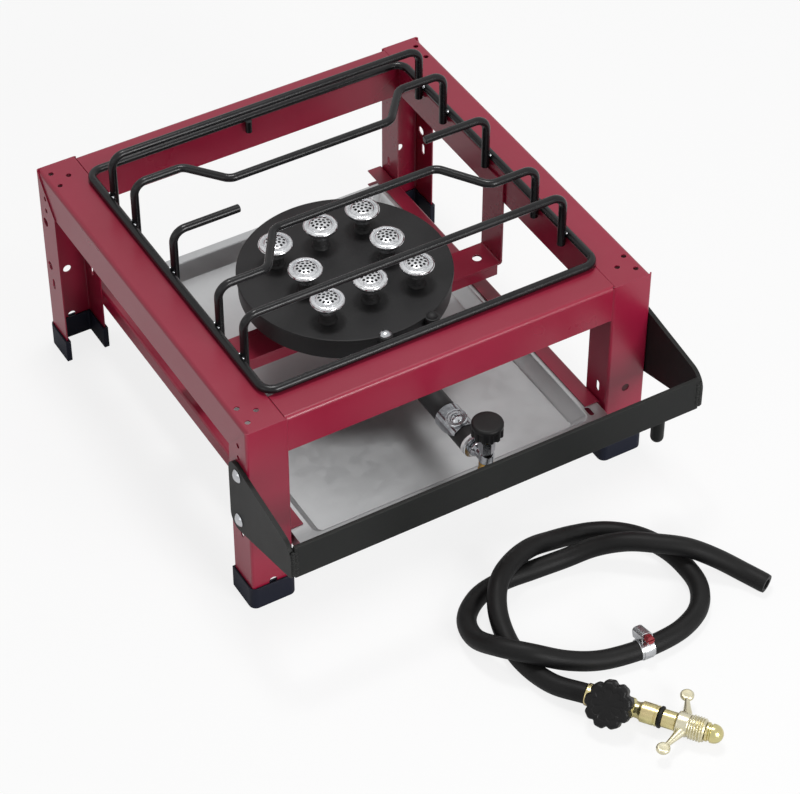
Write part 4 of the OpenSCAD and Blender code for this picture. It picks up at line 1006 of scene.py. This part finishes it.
def makeRunners():
    t = sheet["thick"]
    outer = halfSide - legPlan["width"]
    (start, low), (stop, high) = ((v.y - standMid.y, v.z) for v in nodeBox("tray_runner_left"))
    for side, name in hands:
        bm = bmesh.new()
        path = [(outer - runnerWidth, high - t / 2), (outer - t / 2, high - t / 2),
                (outer - t / 2, low + t / 2), (outer - runnerWidth, low + t / 2)]
        addPrism(bm, sheetOutline(path, t, sheet["bend"]), frontAt(start), stop - start)
        makePiece(titled("runner", name), bm, "winePaint", "stand", ["tray_runner_" + name],
                  place=toCorner(side, 1), bevel=sheet["edge"])


bridgePlan = {"thick": 2, "topDrop": 9, "seat": 0.2, "flange": 13, "hole": 9, "holeIn": 16,
              "boltHole": 7, "boltBack": 7, "bolt": 6, "nut": (9.8, 3.9)}
burnerAxis = Vector((4, 35, 0))     # model place of the burner's middle


def makeBridge():
    t = bridgePlan["thick"]
    low, high = nodeBox("burner_bridge")
    wide = (high.y - low.y) / 2
    middle = Matrix.Translation((0, (high.y + low.y) / 2, 0))
    floorTop = low.z + bridgePlan["flange"]
    wall = halfSide - railPlan["sideWidth"] - bridgePlan["seat"] - t / 2
    endZ = railTop - bridgePlan["topDrop"]
    path = [(-wall, endZ), (-wall, floorTop - t / 2), (wall, floorTop - t / 2), (wall, endZ)]
    bm, holes = bmesh.new(), bmesh.new()
    addPrism(bm, sheetOutline(path, t, sheet["bend"]), frontAt(-wide), 2 * wide)
    for x in (-wall + bridgePlan["holeIn"], wall - bridgePlan["holeIn"]):
        addDrill(holes, (x, 0, floorTop), (0, 0, 1), bridgePlan["hole"], 10)
    addDrill(holes, (burnerAxis.x, bridgePlan["boltBack"], floorTop), (0, 0, 1), bridgePlan["boltHole"], 10)
    makePiece("bridgeStrap", bm, "winePaint", "stand", ["burner_bridge"], holes, middle, sheet["edge"])
    long = wall - 2 * sheet["bend"]
    lipZ = floorTop - t / 2 - 0.02
    for side, name in ends:
        bm = bmesh.new()
        edge = side * (wide - t / 2)
        lip = [(edge - side * 3.6, lipZ), (edge, lipZ), (edge, low.z)]
        addPrism(bm, sheetOutline(lip, t, sheet["bend"]), sideAt(-long), 2 * long)
        makePiece(titled("bridgeFlange", name), bm, "winePaint", "stand", place=middle, bevel=sheet["edge"])


makeRails()
makeLegs()
makeFeet()
makeRunners()
makeBridge()
print("stand done")


# Guard bar

guard = {"thick": 4, "nose": 18, "noseDrop": 14, "toe": 4, "end": 12, "bolt": 8, "edge": 0.7,
         "innerBead": 1.5, "frontBead": 2.1, "pegBead": 1.3}


def makeGuard():
    low, high = nodeBox("guard_bar")
    bm = bmesh.new()
    addBlock(bm, low, high)
    makePiece("guardBar", bm, "guardPaint", "stand", ["guard_bar"], bevel=guard["edge"], steps=3)
    front, nose, toe = low.y - standMid.y, guard["nose"], guard["toe"]
    ears = [arcPoints((-boltRow, railTop - drop), guard["end"], 0, 360, 40) for drop in legPlan["bolts"]]
    outline = hullOutline(
        ears[0] + ears[1]
        + arcPoints((front + nose, high.z - guard["noseDrop"]), nose, 50, 190, 20)
        + arcPoints((front + toe, low.z + toe), toe, 180, 270, 6))
    for side, name in hands:
        bm, holes = bmesh.new(), bmesh.new()
        addPrism(bm, outline, sideAt(halfSide), guard["thick"])
        for y, z in boltSpots:
            addDrill(holes, (halfSide + 2, -y, z), (1, 0, 0), guard["bolt"] + 1, 12)
        makePiece(titled("guardArm", name), bm, "guardPaint", "stand", ["guard_arm_" + name], holes,
                  toCorner(side, 1), guard["edge"], 24, 3)
        # weld metal up the inside corner and in the groove at the bar's end
        bm = bmesh.new()
        x = side * (halfSide - 0.4)
        addBead(bm, (x, high.y, low.z + 3), (x, high.y, high.z - 3), guard["innerBead"], 15)
        for x in (side * (halfSide + 1.4), side * (halfSide - 1.6)):
            addBead(bm, (x, low.y + 0.4, low.z + 3), (x, low.y + 0.4, high.z - 5), guard["frontBead"], 13,
                    (1, 0.62, 1))
        makePiece(titled("guardWeld", name), bm, "guardPaint", "stand", smooth=50)


def boltProfile(d, shank, flange=0.85, height=0.45):
    r = flange * d
    return ([(0, -shank), (d / 2 - 0.5, -shank), (d / 2, -shank + 0.5), (d / 2, 0), (r - 0.3, 0), (r, 0.3),
             (r, 0.5)] + domePoints(r - 0.15, height * d - 0.7, 0.7, 8))


def addHexNut(bm, place, flats, height, bore):
    # six flats with a turned chamfer at both faces
    steps, sixth = 72, math.pi / 3
    rings = []
    for inset, z in ((0.9, 0), (0, 0.55), (0, height - 0.55), (0.9, height)):
        limit = flats / 2 / math.cos(sixth / 2) - inset
        rings.append(ringOf(
            lambda a: min(flats / 2 / math.cos((a + sixth / 2) % sixth - sixth / 2), limit), z, steps))
    addLoft(bm, rings + [ringOf(bore / 2, z, steps) for z in (height, 0)], place, loop=True)


def makeGuardFasteners():
    d = guard["bolt"]
    nut = 0.8 * d
    shank = guard["thick"] + sheet["thick"] + nut + 2
    bolts, nuts = bmesh.new(), bmesh.new()
    for side in (-1, 1):
        for y, z in boltSpots:
            spot = (side * (halfSide + guard["thick"]), standMid.y - y, z)
            addLathe(bolts, boltProfile(d, shank, 0.775), along(spot, (side, 0, 0)), 40)
            seat = (side * (halfSide - sheet["thick"] - nut), standMid.y - y, z)
            addHexNut(nuts, along(seat, (side, 0, 0)), 1.6 * d, nut, d)
    makePiece("guardBolts", bolts, "boltChrome", "stand", ["guard_bolts"])
    makePiece("guardNuts", nuts, "boltChrome", "stand", ["guard_nuts"], smooth=25)


def makePeg():
    low, high = nodeBox("guard_peg")
    r, long = (high.x - low.x) / 2, high.z - low.z
    middle = (low + high) / 2
    tip = [(r * math.sin(a), r - r * math.cos(a)) for a in (math.pi / 2 * k / 10 for k in range(11))]
    bm = bmesh.new()
    addLathe(bm, tip + [(r, long - 0.8), (r - 0.8, long), (0, long)],
             Matrix.Translation((middle.x, middle.y, low.z)), 40)
    barLow = nodeBox("guard_bar")[0].z
    for x in (middle.x - 4.6, middle.x + 4.6):
        addBead(bm, (x, low.y + 0.8, barLow + 3), (x, low.y + 0.8, high.z - 2), guard["pegBead"], 8)
    makePiece("guardPeg", bm, "guardPaint", "stand", ["guard_peg"], smooth=50)


makeGuard()
makeGuardFasteners()
makePeg()
print("guard done")


# Burner: drum, lid, threaded stems and perforated heads

burner = {"lid": 196, "lidThick": 4, "rim": 1.5, "wall": 3, "boss": 40, "bolt": 6, "lug": 6.9,
          "lugs": ((-98, 96), (-70, 101)), "lugHeight": 9, "pitch": 45, "stem": 14, "stemBore": 8,
          "stemHeight": 10, "drum": 20, "tube": 22, "tubeWall": 1.6, "headsShift": (-2, -5.5),
          "headDrift": {(-1, 1): (-3, -3), (0, 1): (-1, -1), (1, 1): (-2, 0), (1, 0): (-3, -1),
                        (-1, 0): (3, -2), (1, -1): (2, 0), (-1, -1): (0, -2), (0, -1): (1, 3)}}
lidLow = nodeBox("burner_lid")[0].z
drumLow = lidLow - burner["drum"]
tubeZ = drumLow - burner["tube"] / 2
onBurner = Matrix.Translation(burnerAxis)


def lugPlaces(z):
    return [onBurner @ Matrix.Rotation(math.radians(angle), 4, "Z") @ Matrix.Translation((reach, 0, z))
            for angle, reach in burner["lugs"]]


def makeDrum():
    r = burner["lid"] / 2 - burner["rim"]
    inner = r - burner["wall"]
    boss = burner["boss"] / 2
    bossLow = nodeBox("burner_drum")[0].z
    bm = bmesh.new()
    floorZ = drumLow + burner["wall"]
    addLathe(bm, [(0, bossLow), (boss - 1, bossLow), (boss, bossLow + 1), (boss, drumLow - 3),
                  (boss + 0.9, drumLow - 0.9), (boss + 3, drumLow), (r - 3, drumLow),
                  (r - 0.9, drumLow + 0.9), (r, drumLow + 3), (r, lidLow), (inner, lidLow), (inner, floorZ),
                  (0, floorZ)], onBurner, 128)
    cutter = bmesh.new()
    addDrill(cutter, burnerAxis + Vector((0, -boss + 8, tubeZ)), (0, 1, 0), burner["tube"] + 0.1, 34)
    makePiece("burnerDrum", bm, "castBlack", "stand", ["burner_drum"], cutter=cutter)
    bm = bmesh.new()
    lug, high = burner["lug"], burner["lugHeight"]
    for place in lugPlaces(lidLow - high):
        addLathe(bm, [(0, 0), (lug - 1.6, 0), (lug - 0.4, 0.6), (lug, 1.6), (lug, high - 0.5),
                      (0, high - 0.5)], place, 40)
    makePiece("drumLugs", bm, "castBlack", "stand")


def makeLid():
    r, t, lug = burner["lid"] / 2, burner["lidThick"], burner["lug"]
    top = lidLow + t
    turnPiece("burnerLid", [
        (0, lidLow), (r - 0.4, lidLow), (r, lidLow + 0.4), (r, top - 1.3), (r - 0.4, top - 0.4),
        (r - 1.4, top), (0, top)], onBurner, 160, "castBlack", "stand", ["burner_lid"])
    bm = bmesh.new()
    for place in lugPlaces(lidLow):
        addLathe(bm, [(0, 0), (lug, 0), (lug, t - 1), (lug - 0.3, t - 0.4), (lug - 1, t - 0.02),
                      (0, t - 0.02)], place, 40)
    makePiece("lidLugs", bm, "castBlack", "stand")
    # the left bolt is bright, the right one has turned black from the heat
    bolts = (("lidBoltBright", "boltChrome", ["lid_bolts"]), ("lidBoltDark", "castBlack", []))
    for place, (name, finish, nodes) in zip(lugPlaces(top), bolts):
        turnPiece(name, boltProfile(burner["bolt"], 9, 0.9, 0.5), place, 36, finish, "stand", nodes)


def headPlaces(z):
    # three rows of three without the middle one, drilled by hand a little out of line
    right, back = burner["headsShift"]
    pitch = burner["pitch"]
    return [onBurner @ Matrix.Translation((i * pitch + right + x, j * pitch + back + y, z))
            for (i, j), (x, y) in burner["headDrift"].items()]


def makeStems():
    r, bore, t = burner["stem"] / 2, burner["stemBore"] / 2, burner["lidThick"]
    top = t + burner["stemHeight"]
    steps = 40
    bm = bmesh.new()
    root = ((bore, 0), (r - 1.1, 0), (r - 1.1, t - 0.2))
    neck = ((r - 1.5, top), (r - 1.5, top + 5.5), (r - 1.9, top + 6), (bore, top + 6))
    rings = [ringOf(*p, steps) for p in root] + threadRings(r, 0.9, 1.9, t, top - 0.6, steps, 7)
    rings += [ringOf(*p, steps) for p in neck]
    # a collar of sealing paint where the thread enters the lid
    collar = [(r - 0.6, t - 0.1), (r + 1.9, t - 0.1), (r + 1.5, t + 0.6), (r + 0.5, t + 1.4),
              (r - 0.2, t + 1.8)]
    for place in headPlaces(lidLow):
        addLoft(bm, rings, place, loop=True)
        addLathe(bm, collar, place, steps, loop=True)
    makePiece("headStems", bm, "castBlack", "stand", ["head_stems"], smooth=40)


head = {"radius": 16, "height": 17, "dome": 7, "middleRise": 2.2, "sheet": 1.2, "hole": 2.8,
        "rings": ((0, 1), (0.25, 6), (0.48, 12))}     # share of the radius, and count of holes
headLow = lidLow + burner["lidThick"] + burner["stemHeight"]


def makeHeads():
    r, top, rise, t = head["radius"], head["height"], head["dome"], head["sheet"]
    cone = top - rise
    neck = burner["stem"] / 2 + 1
    bore = burner["stem"] / 2 - 1.45
    inner, bulge = 0.7 * r, head["middleRise"]     # edge and rise of the perforated middle
    middle = domePoints(inner, bulge, top - bulge, 8)
    outline = [(bore, 0), (neck - 0.4, 0), (neck, 0.4), (neck, 0.4 * cone), (neck + 1.2, 0.44 * cone),
               (r - 2.2, cone - 1.6), (r - 0.5, cone + 0.5), (r, cone + 1.8), (r - 0.25, cone + 3.2),
               (r - 1.3, cone + 4.3), (r - 2.6, cone + 4.7), (inner + 1.1, cone + 4.6),
               (inner + 0.6, cone + 3.6), (inner + 0.15, cone + 3.6)]
    underside = [(x, z - t) for x, z in middle[::-1]]
    shell = outline + middle[1:] + underside[1:-1] + [(inner - 0.6, cone + 2.4), (r - 2.6, cone + 2.2),
                                                      (neck, 0.5 * cone + t), (0, 0.5 * cone + t)]
    bm, holes = bmesh.new(), bmesh.new()
    addLathe(bm, shell, Matrix(), 64)
    ball = ballRadius(inner, bulge)
    drill = [(0, -3), (head["hole"] / 2, -3), (head["hole"] / 2, 3), (0, 3)]
    for share, count in head["rings"]:
        for k in range(count):
            angle = full * (k + 0.5 * (count > 6)) / count
            lean = math.asin(share * r / ball)
            way = Vector((math.sin(lean) * math.cos(angle), math.sin(lean) * math.sin(angle), math.cos(lean)))
            spot = Vector((0, 0, top - ball)) + way * ball
            addLathe(holes, drill, along(spot, way), 12)
    cap = makeHeadMesh(bm, holes)
    bm = bmesh.new()
    for place in headPlaces(headLow):
        turn = Matrix.Rotation(dice.uniform(0, full), 4, "Z")
        copy = cap.copy()
        copy.transform(place @ turn @ Matrix.Scale(1 / mm, 4))
        bm.from_mesh(copy)
        bpy.data.meshes.remove(copy)
    makePiece("burnerHeads", bm, "headChrome", "stand", ["burner_heads"], smooth=38)
    # a black disc under each head's perforated middle, just below the holes: painted shade that shows dark
    # through them
    bm = bmesh.new()
    holeShade = [(0, cone + 0.5), (0.93 * inner, cone + 0.5)] + [(0.93 * x, z - t - 0.5) for x, z in middle]
    for place in headPlaces(headLow):
        addLathe(bm, holeShade, place, 32)
    makePiece("headHoleShade", bm, "castBlack", "stand")


def makeHeadMesh(bm, holes):
    piece, cutting = newObject("headForm", bm), newObject("headHoles", holes)
    cutAway(piece, cutting)
    final = worked(piece)
    for item in (piece, cutting):
        bpy.data.objects.remove(item)
    return final


def makeBridgeBolt():
    low, high = nodeBox("bridge_bolt")
    middle, long = (low + high) / 2, high.z - low.z
    place = Matrix.Translation((middle.x, middle.y, low.z))
    bm = bmesh.new()
    r = bridgePlan["bolt"] / 2
    addHexNut(bm, place, *bridgePlan["nut"], 2)
    addLathe(bm, [(0, 0), (r, 0), (r, long - 0.5), (r - 0.5, long), (0, long)], place, 24)
    makePiece("bridgeBolt", bm, "boltChrome", "stand", ["bridge_bolt"], smooth=25)


makeDrum()
makeLid()
makeStems()
makeHeads()
makeBridgeBolt()
print("burner done")


# Mixing tube, air shutter and valve

valve = {
    "endAhead": 1, "washer": 6, "slotTurns": (-60, 120), "slotAhead": 4, "slotWide": 9, "slotLong": 16,
    "shutter": 30, "shutterBack": 5.5, "shutterThick": 1.5, "ends": (152, 405), "slant": 201,
    "slantBack": 9, "screwAhead": 4.4, "screwLean": 12, "screwShank": 4, "cross": (0.5, 2.6), "nozzle": 20,
    "body": 14.5, "foot": 8, "nutFlats": 12.5, "nutHeight": 13, "spindle": 6,
    "barb": 26, "barbRoot": 8.8, "barbNeck": 7, "barbBore": 5, "ridges": 3, "hexHeight": 8,
    "knob": 28, "flutes": 12, "fluteDeep": 1.5, "fluteRadius": 2.3, "plainTop": 4.5,
}
tubeFront = nodeBox("mixing_tube")[0].y - valve["endAhead"]
valveY = nodeBox("valve_knob")[0].y + valve["knob"] / 2
shutterMid = (nodeBox("air_shutter")[0].y + nodeBox("air_shutter")[1].y) / 2 + valve["shutterBack"]
onValve = Matrix.Translation((burnerAxis.x, valveY, 0))


def fromFront(y):
    # local Z runs back along the tube, local Y down, as the drawing has it
    return axes((burnerAxis.x, y, tubeZ), (1, 0, 0), (0, 0, -1), (0, 1, 0))


def makeTube():
    r = burner["tube"] / 2
    bore = r - burner["tubeWall"]
    length = nodeBox("mixing_tube")[1].y - tubeFront
    bm, cuts = bmesh.new(), bmesh.new()
    addLathe(bm, [(bore, 0), (r - 0.3, 0), (r, 0.3), (r, length - 0.3), (r - 0.3, length), (bore, length)],
             fromFront(tubeFront), 72, loop=True)
    wide, long = valve["slotWide"] / 2, valve["slotLong"] / 2
    slotY = shutterMid - valve["shutterBack"] + valve["slotAhead"]
    for angle in valve["slotTurns"]:
        turn = Matrix.Rotation(math.radians(angle), 4, "Z")
        addBlock(cuts, (-2 * r, -wide, -long), (0, wide, long), fromFront(slotY) @ turn)
    makePiece("mixingTube", bm, "castBlack", "stand", ["mixing_tube"], cutter=cuts, bevel=0.3)


def makeShutter():
    # a sleeve open along one side, held by one screw on top
    inner = burner["tube"] / 2 + 0.05
    outer = inner + valve["shutterThick"]
    half = valve["shutter"] / 2
    start, stop = valve["ends"]
    steps = 60
    rings = []
    for k in range(steps + 1):
        turn = start + (stop - start) * k / steps
        a = math.radians(turn)
        slant = max(0, (valve["slant"] - turn) / (valve["slant"] - start))
        front = -half + slant * (2 * half - valve["slantBack"])     # the left edge is cut slantwise
        section = [(inner, front), (outer - 0.3, front), (outer, front + 0.3), (outer, half - 0.3),
                   (outer - 0.3, half), (inner, half)]
        rings.append([(radius * math.cos(a), radius * math.sin(a), z) for radius, z in section])
    bm, cuts = bmesh.new(), bmesh.new()
    addLoft(bm, rings, fromFront(shutterMid))
    axis = Matrix.Translation((burnerAxis.x, shutterMid - valve["screwAhead"], tubeZ))
    lean = Matrix.Rotation(math.radians(-valve["screwLean"]), 4, "Y")
    spot = axis @ lean @ Matrix.Translation((0, 0, outer))
    shank = valve["screwShank"]
    addDrill(cuts, spot @ Vector(), spot.to_3x3() @ Vector((0, 0, 1)), shank + 0.2, 6)
    makePiece("airShutter", bm, "valveChrome", "shutter", ["air_shutter"], cuts, smooth=28)
    cross = bmesh.new()
    a, b = valve["cross"]     # half width and reach of the driver's cross
    outline = [(a, a), (a, b), (-a, b), (-a, a), (-b, a), (-b, -a), (-a, -a), (-a, -b), (a, -b), (a, -a),
               (b, -a), (b, a)]
    addPrism(cross, outline, spot @ Matrix.Translation((0, 0, 3)) @ Matrix.Rotation(0.5, 4, "Z"), 4)
    # the screw's dome in its cup washer
    turnPiece("shutterScrew", [
        (0, -1.4), (shank / 2, -1.4), (shank / 2, -0.6), (9, -0.6), (9.8, 0.2), (9.8, 1.6), (9.2, 2.2),
        (8.4, 2.2), (7.8, 1.2), (5.8, 1.2)] + domePoints(5.7, 3.2, 1.3, 8),
        spot, 48, "boltChrome", "shutter", ["shutter_screw"], cutter=cross)


def makeJet():
    place = fromFront(tubeFront)
    edge = burner["tube"] / 2 + 0.2
    # the polished ring at the tube's mouth takes an even white as its painted highlight
    turnPiece("mouthWasher", [
        (6.1, -3.5), (edge - 0.2, -3.5), (edge + 0.5, -3.1), (edge + 0.5, -0.7), (edge, -0.25), (6.1, -0.25)],
        place, 64, "glintWhite", "stand", loop=True)
    bore = burner["tube"] / 2 - burner["tubeWall"] - 0.05
    back, nozzle = -valve["washer"], valve["nozzle"]
    turnPiece("gasJet", [
        (1, back), (edge - 0.5, back), (edge, back + 0.5), (edge, -4.1), (edge - 0.5, -3.6), (6.2, -3.6),
        (6, -3.8), (6, -0.2), (bore + 1, -0.01), (bore, 0.2), (bore, 6), (4, 6.2), (2.5, nozzle),
        (1, nozzle)],
        place, 56, "boltChrome", "stand", ["gas_jet"], loop=True)


def makeValve():
    back = tubeFront - valve["washer"]
    base, top = (v.z for v in nodeBox("valve_body"))
    r = valve["body"] / 2
    reach = back - valveY
    cross = axes((burnerAxis.x, back, tubeZ), (1, 0, 0), (0, 0, 1), (0, -1, 0))
    foot = base + valve["foot"]
    bm = bmesh.new()
    addLathe(bm, [(0, 0), (r - 1.2, 0), (r - 0.3, 0.4), (r, 1.3), (r, 3.4), (r - 0.4, 4.4), (r - 2, 6),
                  (r - 2.3, 7), (r - 2.3, reach), (0, reach)], cross, 48)
    addLathe(bm, [(0, foot), (r - 1, foot), (r - 0.5, foot + 0.6), (r - 0.5, top - 4), (r - 1, top - 2),
                  (r - 2, top - 0.3), (r - 2.4, top), (0, top)], onValve, 48)
    makePiece("valveBody", bm, "valveChrome", "stand", ["valve_body"], smooth=36)
    turnPiece("valveFoot", [
        (0, base), (r - 2.2, base), (r - 1, base + 0.8), (r - 0.6, base + 2), (r - 0.6, foot - 0.4),
        (r - 1.2, foot), (0, foot)], onValve, 48, "rawBrass", "stand", smooth=36)
    bm = bmesh.new()
    nutTop = top + valve["nutHeight"]
    addHexNut(bm, onValve @ Matrix.Translation((0, 0, top)), valve["nutFlats"], valve["nutHeight"],
              valve["spindle"] + 0.1)
    makePiece("packingNut", bm, "valveChrome", "stand", ["packing_nut"], smooth=25)
    makeBarb(base)
    low, high = nodeBox("valve_spindle")
    s = valve["spindle"] / 2
    turnPiece("valveSpindle", [
        (0, low.z), (0.8, low.z), (s, low.z + 4), (s, nutTop), (s - 0.4, nutTop + 0.4),
        (s - 0.4, nutTop + 1.4), (s, nutTop + 1.8), (s, high.z), (0, high.z)],
        onValve, 32, "rawBrass", "valve_handle", ["valve_spindle"])


def makeBarb(base):
    root, hexHigh, length, neck = valve["barbRoot"] / 2, valve["hexHeight"], valve["barb"], valve["barbNeck"]
    low = base - hexHigh - length
    step = (length - neck) / valve["ridges"]
    bore = valve["barbBore"]
    outline = [(bore / 2, low), (root - 0.6, low)]
    for k in range(valve["ridges"]):
        z = low + k * step
        outline += [(root - 0.5, z + 0.1), (root + 0.7, z + 0.72 * step), (root + 0.7, z + 0.9 * step),
                    (root + 0.1, z + 0.99 * step)]
    top = low + length
    outline += [(root, top - neck), (root, top - 1), (root + 0.8, top), (bore / 2, top)]
    bm = bmesh.new()
    addLathe(bm, outline, onValve, 48, loop=True)
    addHexNut(bm, onValve @ Matrix.Translation((0, 0, base - hexHigh)), valve["nutFlats"], hexHigh, bore)
    makePiece("hoseBarb", bm, "rawBrass", "stand", ["hose_barb"], smooth=30)


def makeKnob():
    low, high = nodeBox("valve_knob")
    r, count = valve["knob"] / 2, valve["flutes"]

    def flute(angle):
        # a round groove once in each flute's share of the turn
        away = (angle * count / full + 0.5) % 1 - 0.5
        arc = away * full / count * r / valve["fluteRadius"]
        return r - valve["fluteDeep"] * math.sqrt(max(0, 1 - arc * arc))
    height = high.z - low.z
    rim = height - valve["plainTop"]
    grooved = [(r - 4, 0), (1.4, 0), (0.5, 0.4), (0, 1.2), (0, rim - 0.8)]
    plain = [(0.2, rim), (0, rim + 0.5), (0, height - 2), (0.3, height - 1.1), (1.1, height - 0.35),
             (2.2, height), (6.2, height - 0.15), (r - 2, height - 0.1)]
    rings = flutedRings(flute, grooved, 192) + flutedRings(lambda angle: r, plain, 192)
    bm = bmesh.new()
    addLoft(bm, rings, onValve @ Matrix.Translation((0, 0, low.z)))
    makePiece("valveKnob", bm, "knobPlastic", "valve_handle", ["valve_knob"], smooth=40)


makeTube()
makeShutter()
makeJet()
makeValve()
makeKnob()
print("valve done")


# Pan grate of bent wire

grate = {"wire": 7.5, "bend": 12, "rise": 48, "loopX": 163.5, "loopFront": -170, "loopBack": 164.5,
         "postX": 157.4, "postDrop": 7, "outerY": 122.5,
         "cranks": {"front": (-78, -34.5), "back": (79, 43.5)}, "crankInX": 81,
         "crankOutX": 110, "finger": 93, "fingerY": 4.5, "back": 2.5, "peg": 9, "pegX": -3,
         "weld": 1.5, "sides": 22}
onGrate = onStand @ Matrix.Translation((0, grate["back"], 0))


def addWire(bm, points, freeEnd=False):
    path = roundedPath(points, grate["bend"], 12)
    rings = tubeRings(path, lambda i: grate["wire"] / 2, grate["sides"])
    if freeEnd:      # the cut end has its edge ground off
        end, last = path[-1], rings[-1]
        ahead = (path[-1] - path[-2]).normalized()
        rings[-1] = [p - ahead * 0.9 for p in last]
        for share, out in ((0.93, 0.3), (0.78, 0), (0.5, -0.02)):
            rings.append([end + (p - end) * share - ahead * out for p in last])
    addLoft(bm, rings, onGrate)


def makeGrate():
    lx, front, back = grate["loopX"], grate["loopFront"], grate["loopBack"]
    loopZ = nodeBox("grate_loop")[1].z - grate["wire"] / 2
    panZ = railTop + grate["rise"]
    post, foot = grate["postX"], railTop - grate["postDrop"]

    def wirePiece(kind, name, points, freeEnd=False):
        bm = bmesh.new()
        addWire(bm, points, freeEnd)
        makePiece(titled("grate" + kind, name), bm, "wireEnamel", "pan_grate",
                  ["grate_%s_%s" % (kind.lower(), name)], smooth=60)
    bm = bmesh.new()
    path = roundedPath([(lx, 0, loopZ), (lx, back, loopZ), (-lx, back, loopZ), (-lx, front, loopZ),
                        (lx, front, loopZ), (lx, 0, loopZ)], grate["bend"], 12)
    rings = tubeRings(path[:-1], lambda i: grate["wire"] / 2, grate["sides"])
    addLoft(bm, rings, onGrate, loop=True)
    low = railTop - grate["peg"]
    r = (grate["wire"] - 1) / 2
    addLathe(bm, [(0, low), (r - 0.8, low), (r, low + 0.8), (r, loopZ), (0, loopZ)],
             onGrate @ Matrix.Translation((grate["pegX"], back - r - 2.4, 0)), 28)
    makePiece("grateLoop", bm, "wireEnamel", "pan_grate", ["grate_loop"], smooth=60)
    for side, name in ends:
        y = side * grate["outerY"]
        wirePiece("Wire", name, [(-post, y, foot), (-post, y, panZ), (post, y, panZ), (post, y, foot)])
        y, yIn = grate["cranks"][name]
        xIn, xOut = grate["crankInX"], grate["crankOutX"]
        wirePiece("Crank", name, [(-post, y, foot), (-post, y, panZ), (-xOut, y, panZ), (-xIn, yIn, panZ),
                                  (xIn, yIn, panZ), (xOut, y, panZ), (post, y, panZ), (post, y, foot)])
    y = grate["fingerY"]
    for side, name in hands:
        wirePiece("Finger", name, [(side * post, y, foot), (side * post, y, panZ),
                                   (side * grate["finger"], y, panZ)], freeEnd=True)
    # bare drops of weld metal where the raised wires meet the loop
    bm = bmesh.new()
    rows = [-grate["outerY"], grate["outerY"], y] + [crank[0] for crank in grate["cranks"].values()]
    for side in (-1, 1):
        for y in rows:
            for step in (-1, 1):
                spot = onGrate @ Vector((side * (post + 3.2), y + step * 3.3, loopZ + 2.2))
                addBead(bm, spot, spot, grate["weld"], 1)
    makePiece("grateWelds", bm, "boltChrome", "pan_grate", smooth=60)


makeGrate()
print("grate done")


# Drip tray

tray = {"thick": 0.8, "lip": 17, "endLip": 9, "lean": 9, "frontTurn": 10, "corner": 7, "bend": 1.2,
        "slot": (5, 12), "slotIn": 12, "shorter": 8}


def roundRect(x0, x1, y0, y1, radius, z, steps=6):
    ring = []
    for x, y, start in ((x1, y0, -90), (x1, y1, 0), (x0, y1, 90), (x0, y0, 180)):
        cx = x - math.copysign(radius, x)
        cy = y + radius if start in (-90, 180) else y - radius
        ring += [(p.x, p.y, z) for p in arcPoints((cx, cy), radius, start, start + 90, steps)]
    return ring


def makeTray():
    low, high = (v - standMid for v in nodeBox("drip_tray"))
    high.y -= tray["shorter"]
    t, lean, r = tray["thick"], tray["lean"], tray["corner"]
    panX = high.x - tray["lip"]
    front, back = low.y + tray["endLip"], high.y - tray["endLip"]
    top, base = high.z, low.z

    def panRings(profile):
        return [roundRect(-panX + inset, panX - inset, front + inset, back - inset, r + extra, z)
                for inset, z, extra in profile]
    outside = panRings(((0, top - t, 0), (lean * 0.86, base + 2.2, 0), (lean * 0.94, base + 0.7, 0.4),
                        (lean + 1.4, base, 1.2)))
    inside = panRings(((lean + 1.6, base + t, 1.2), (lean * 0.98 + t, base + t + 0.8, 0.4),
                       (lean * 0.88 + t, base + 2.4 + t, 0), (t + 0.5, top - 1.1, 0), (-0.4, top, 0.4)))
    bm = bmesh.new()
    bm.faces.new(addLoft(bm, outside, ends=False)[-1])
    bm.faces.new(addLoft(bm, inside, ends=False)[0])
    # the lips round the pan, as one ring of sheet
    edge = roundRect(-high.x, high.x, low.y, high.y, 2.5, top)
    lowered = [[(x, y, top - t) for x, y, z in ring] for ring in (edge, outside[0])]
    addLoft(bm, [inside[-1], edge] + lowered, ends=False)
    bmesh.ops.remove_doubles(bm, verts=bm.verts, dist=0.01)
    cuts = bmesh.new()
    wide, long = tray["slot"]
    outline = slotPoints(panX + wide, low.y + tray["slotIn"] + long / 2, wide, long)
    addPrism(cuts, outline, Matrix.Translation((0, 0, top - 3)), 6)
    makePiece("trayPan", bm, "galvanisedSheet", "drip_tray", ["drip_tray"], cuts, onStand, smooth=30)
    # sheet turned down at the sides and at the front
    bm = bmesh.new()
    level = top - t / 2 - 0.03
    for side in (-1, 1):
        outline = sheetOutline([(side * (high.x - 4), level), (side * (high.x - t / 2), level),
                                (side * (high.x - t / 2), base)], t, tray["bend"])
        addPrism(bm, outline, frontAt(low.y + 1), high.y - low.y - 2)
    turned = sheetOutline([(low.y + 4, level), (low.y + t / 2, level),
                           (low.y + t / 2, top - tray["frontTurn"])], t, tray["bend"])
    addPrism(bm, turned, sideAt(-panX), 2 * panX)
    makePiece("trayEdges", bm, "galvanisedSheet", "drip_tray", place=onStand, bevel=0.12)


makeTray()
print("tray done")
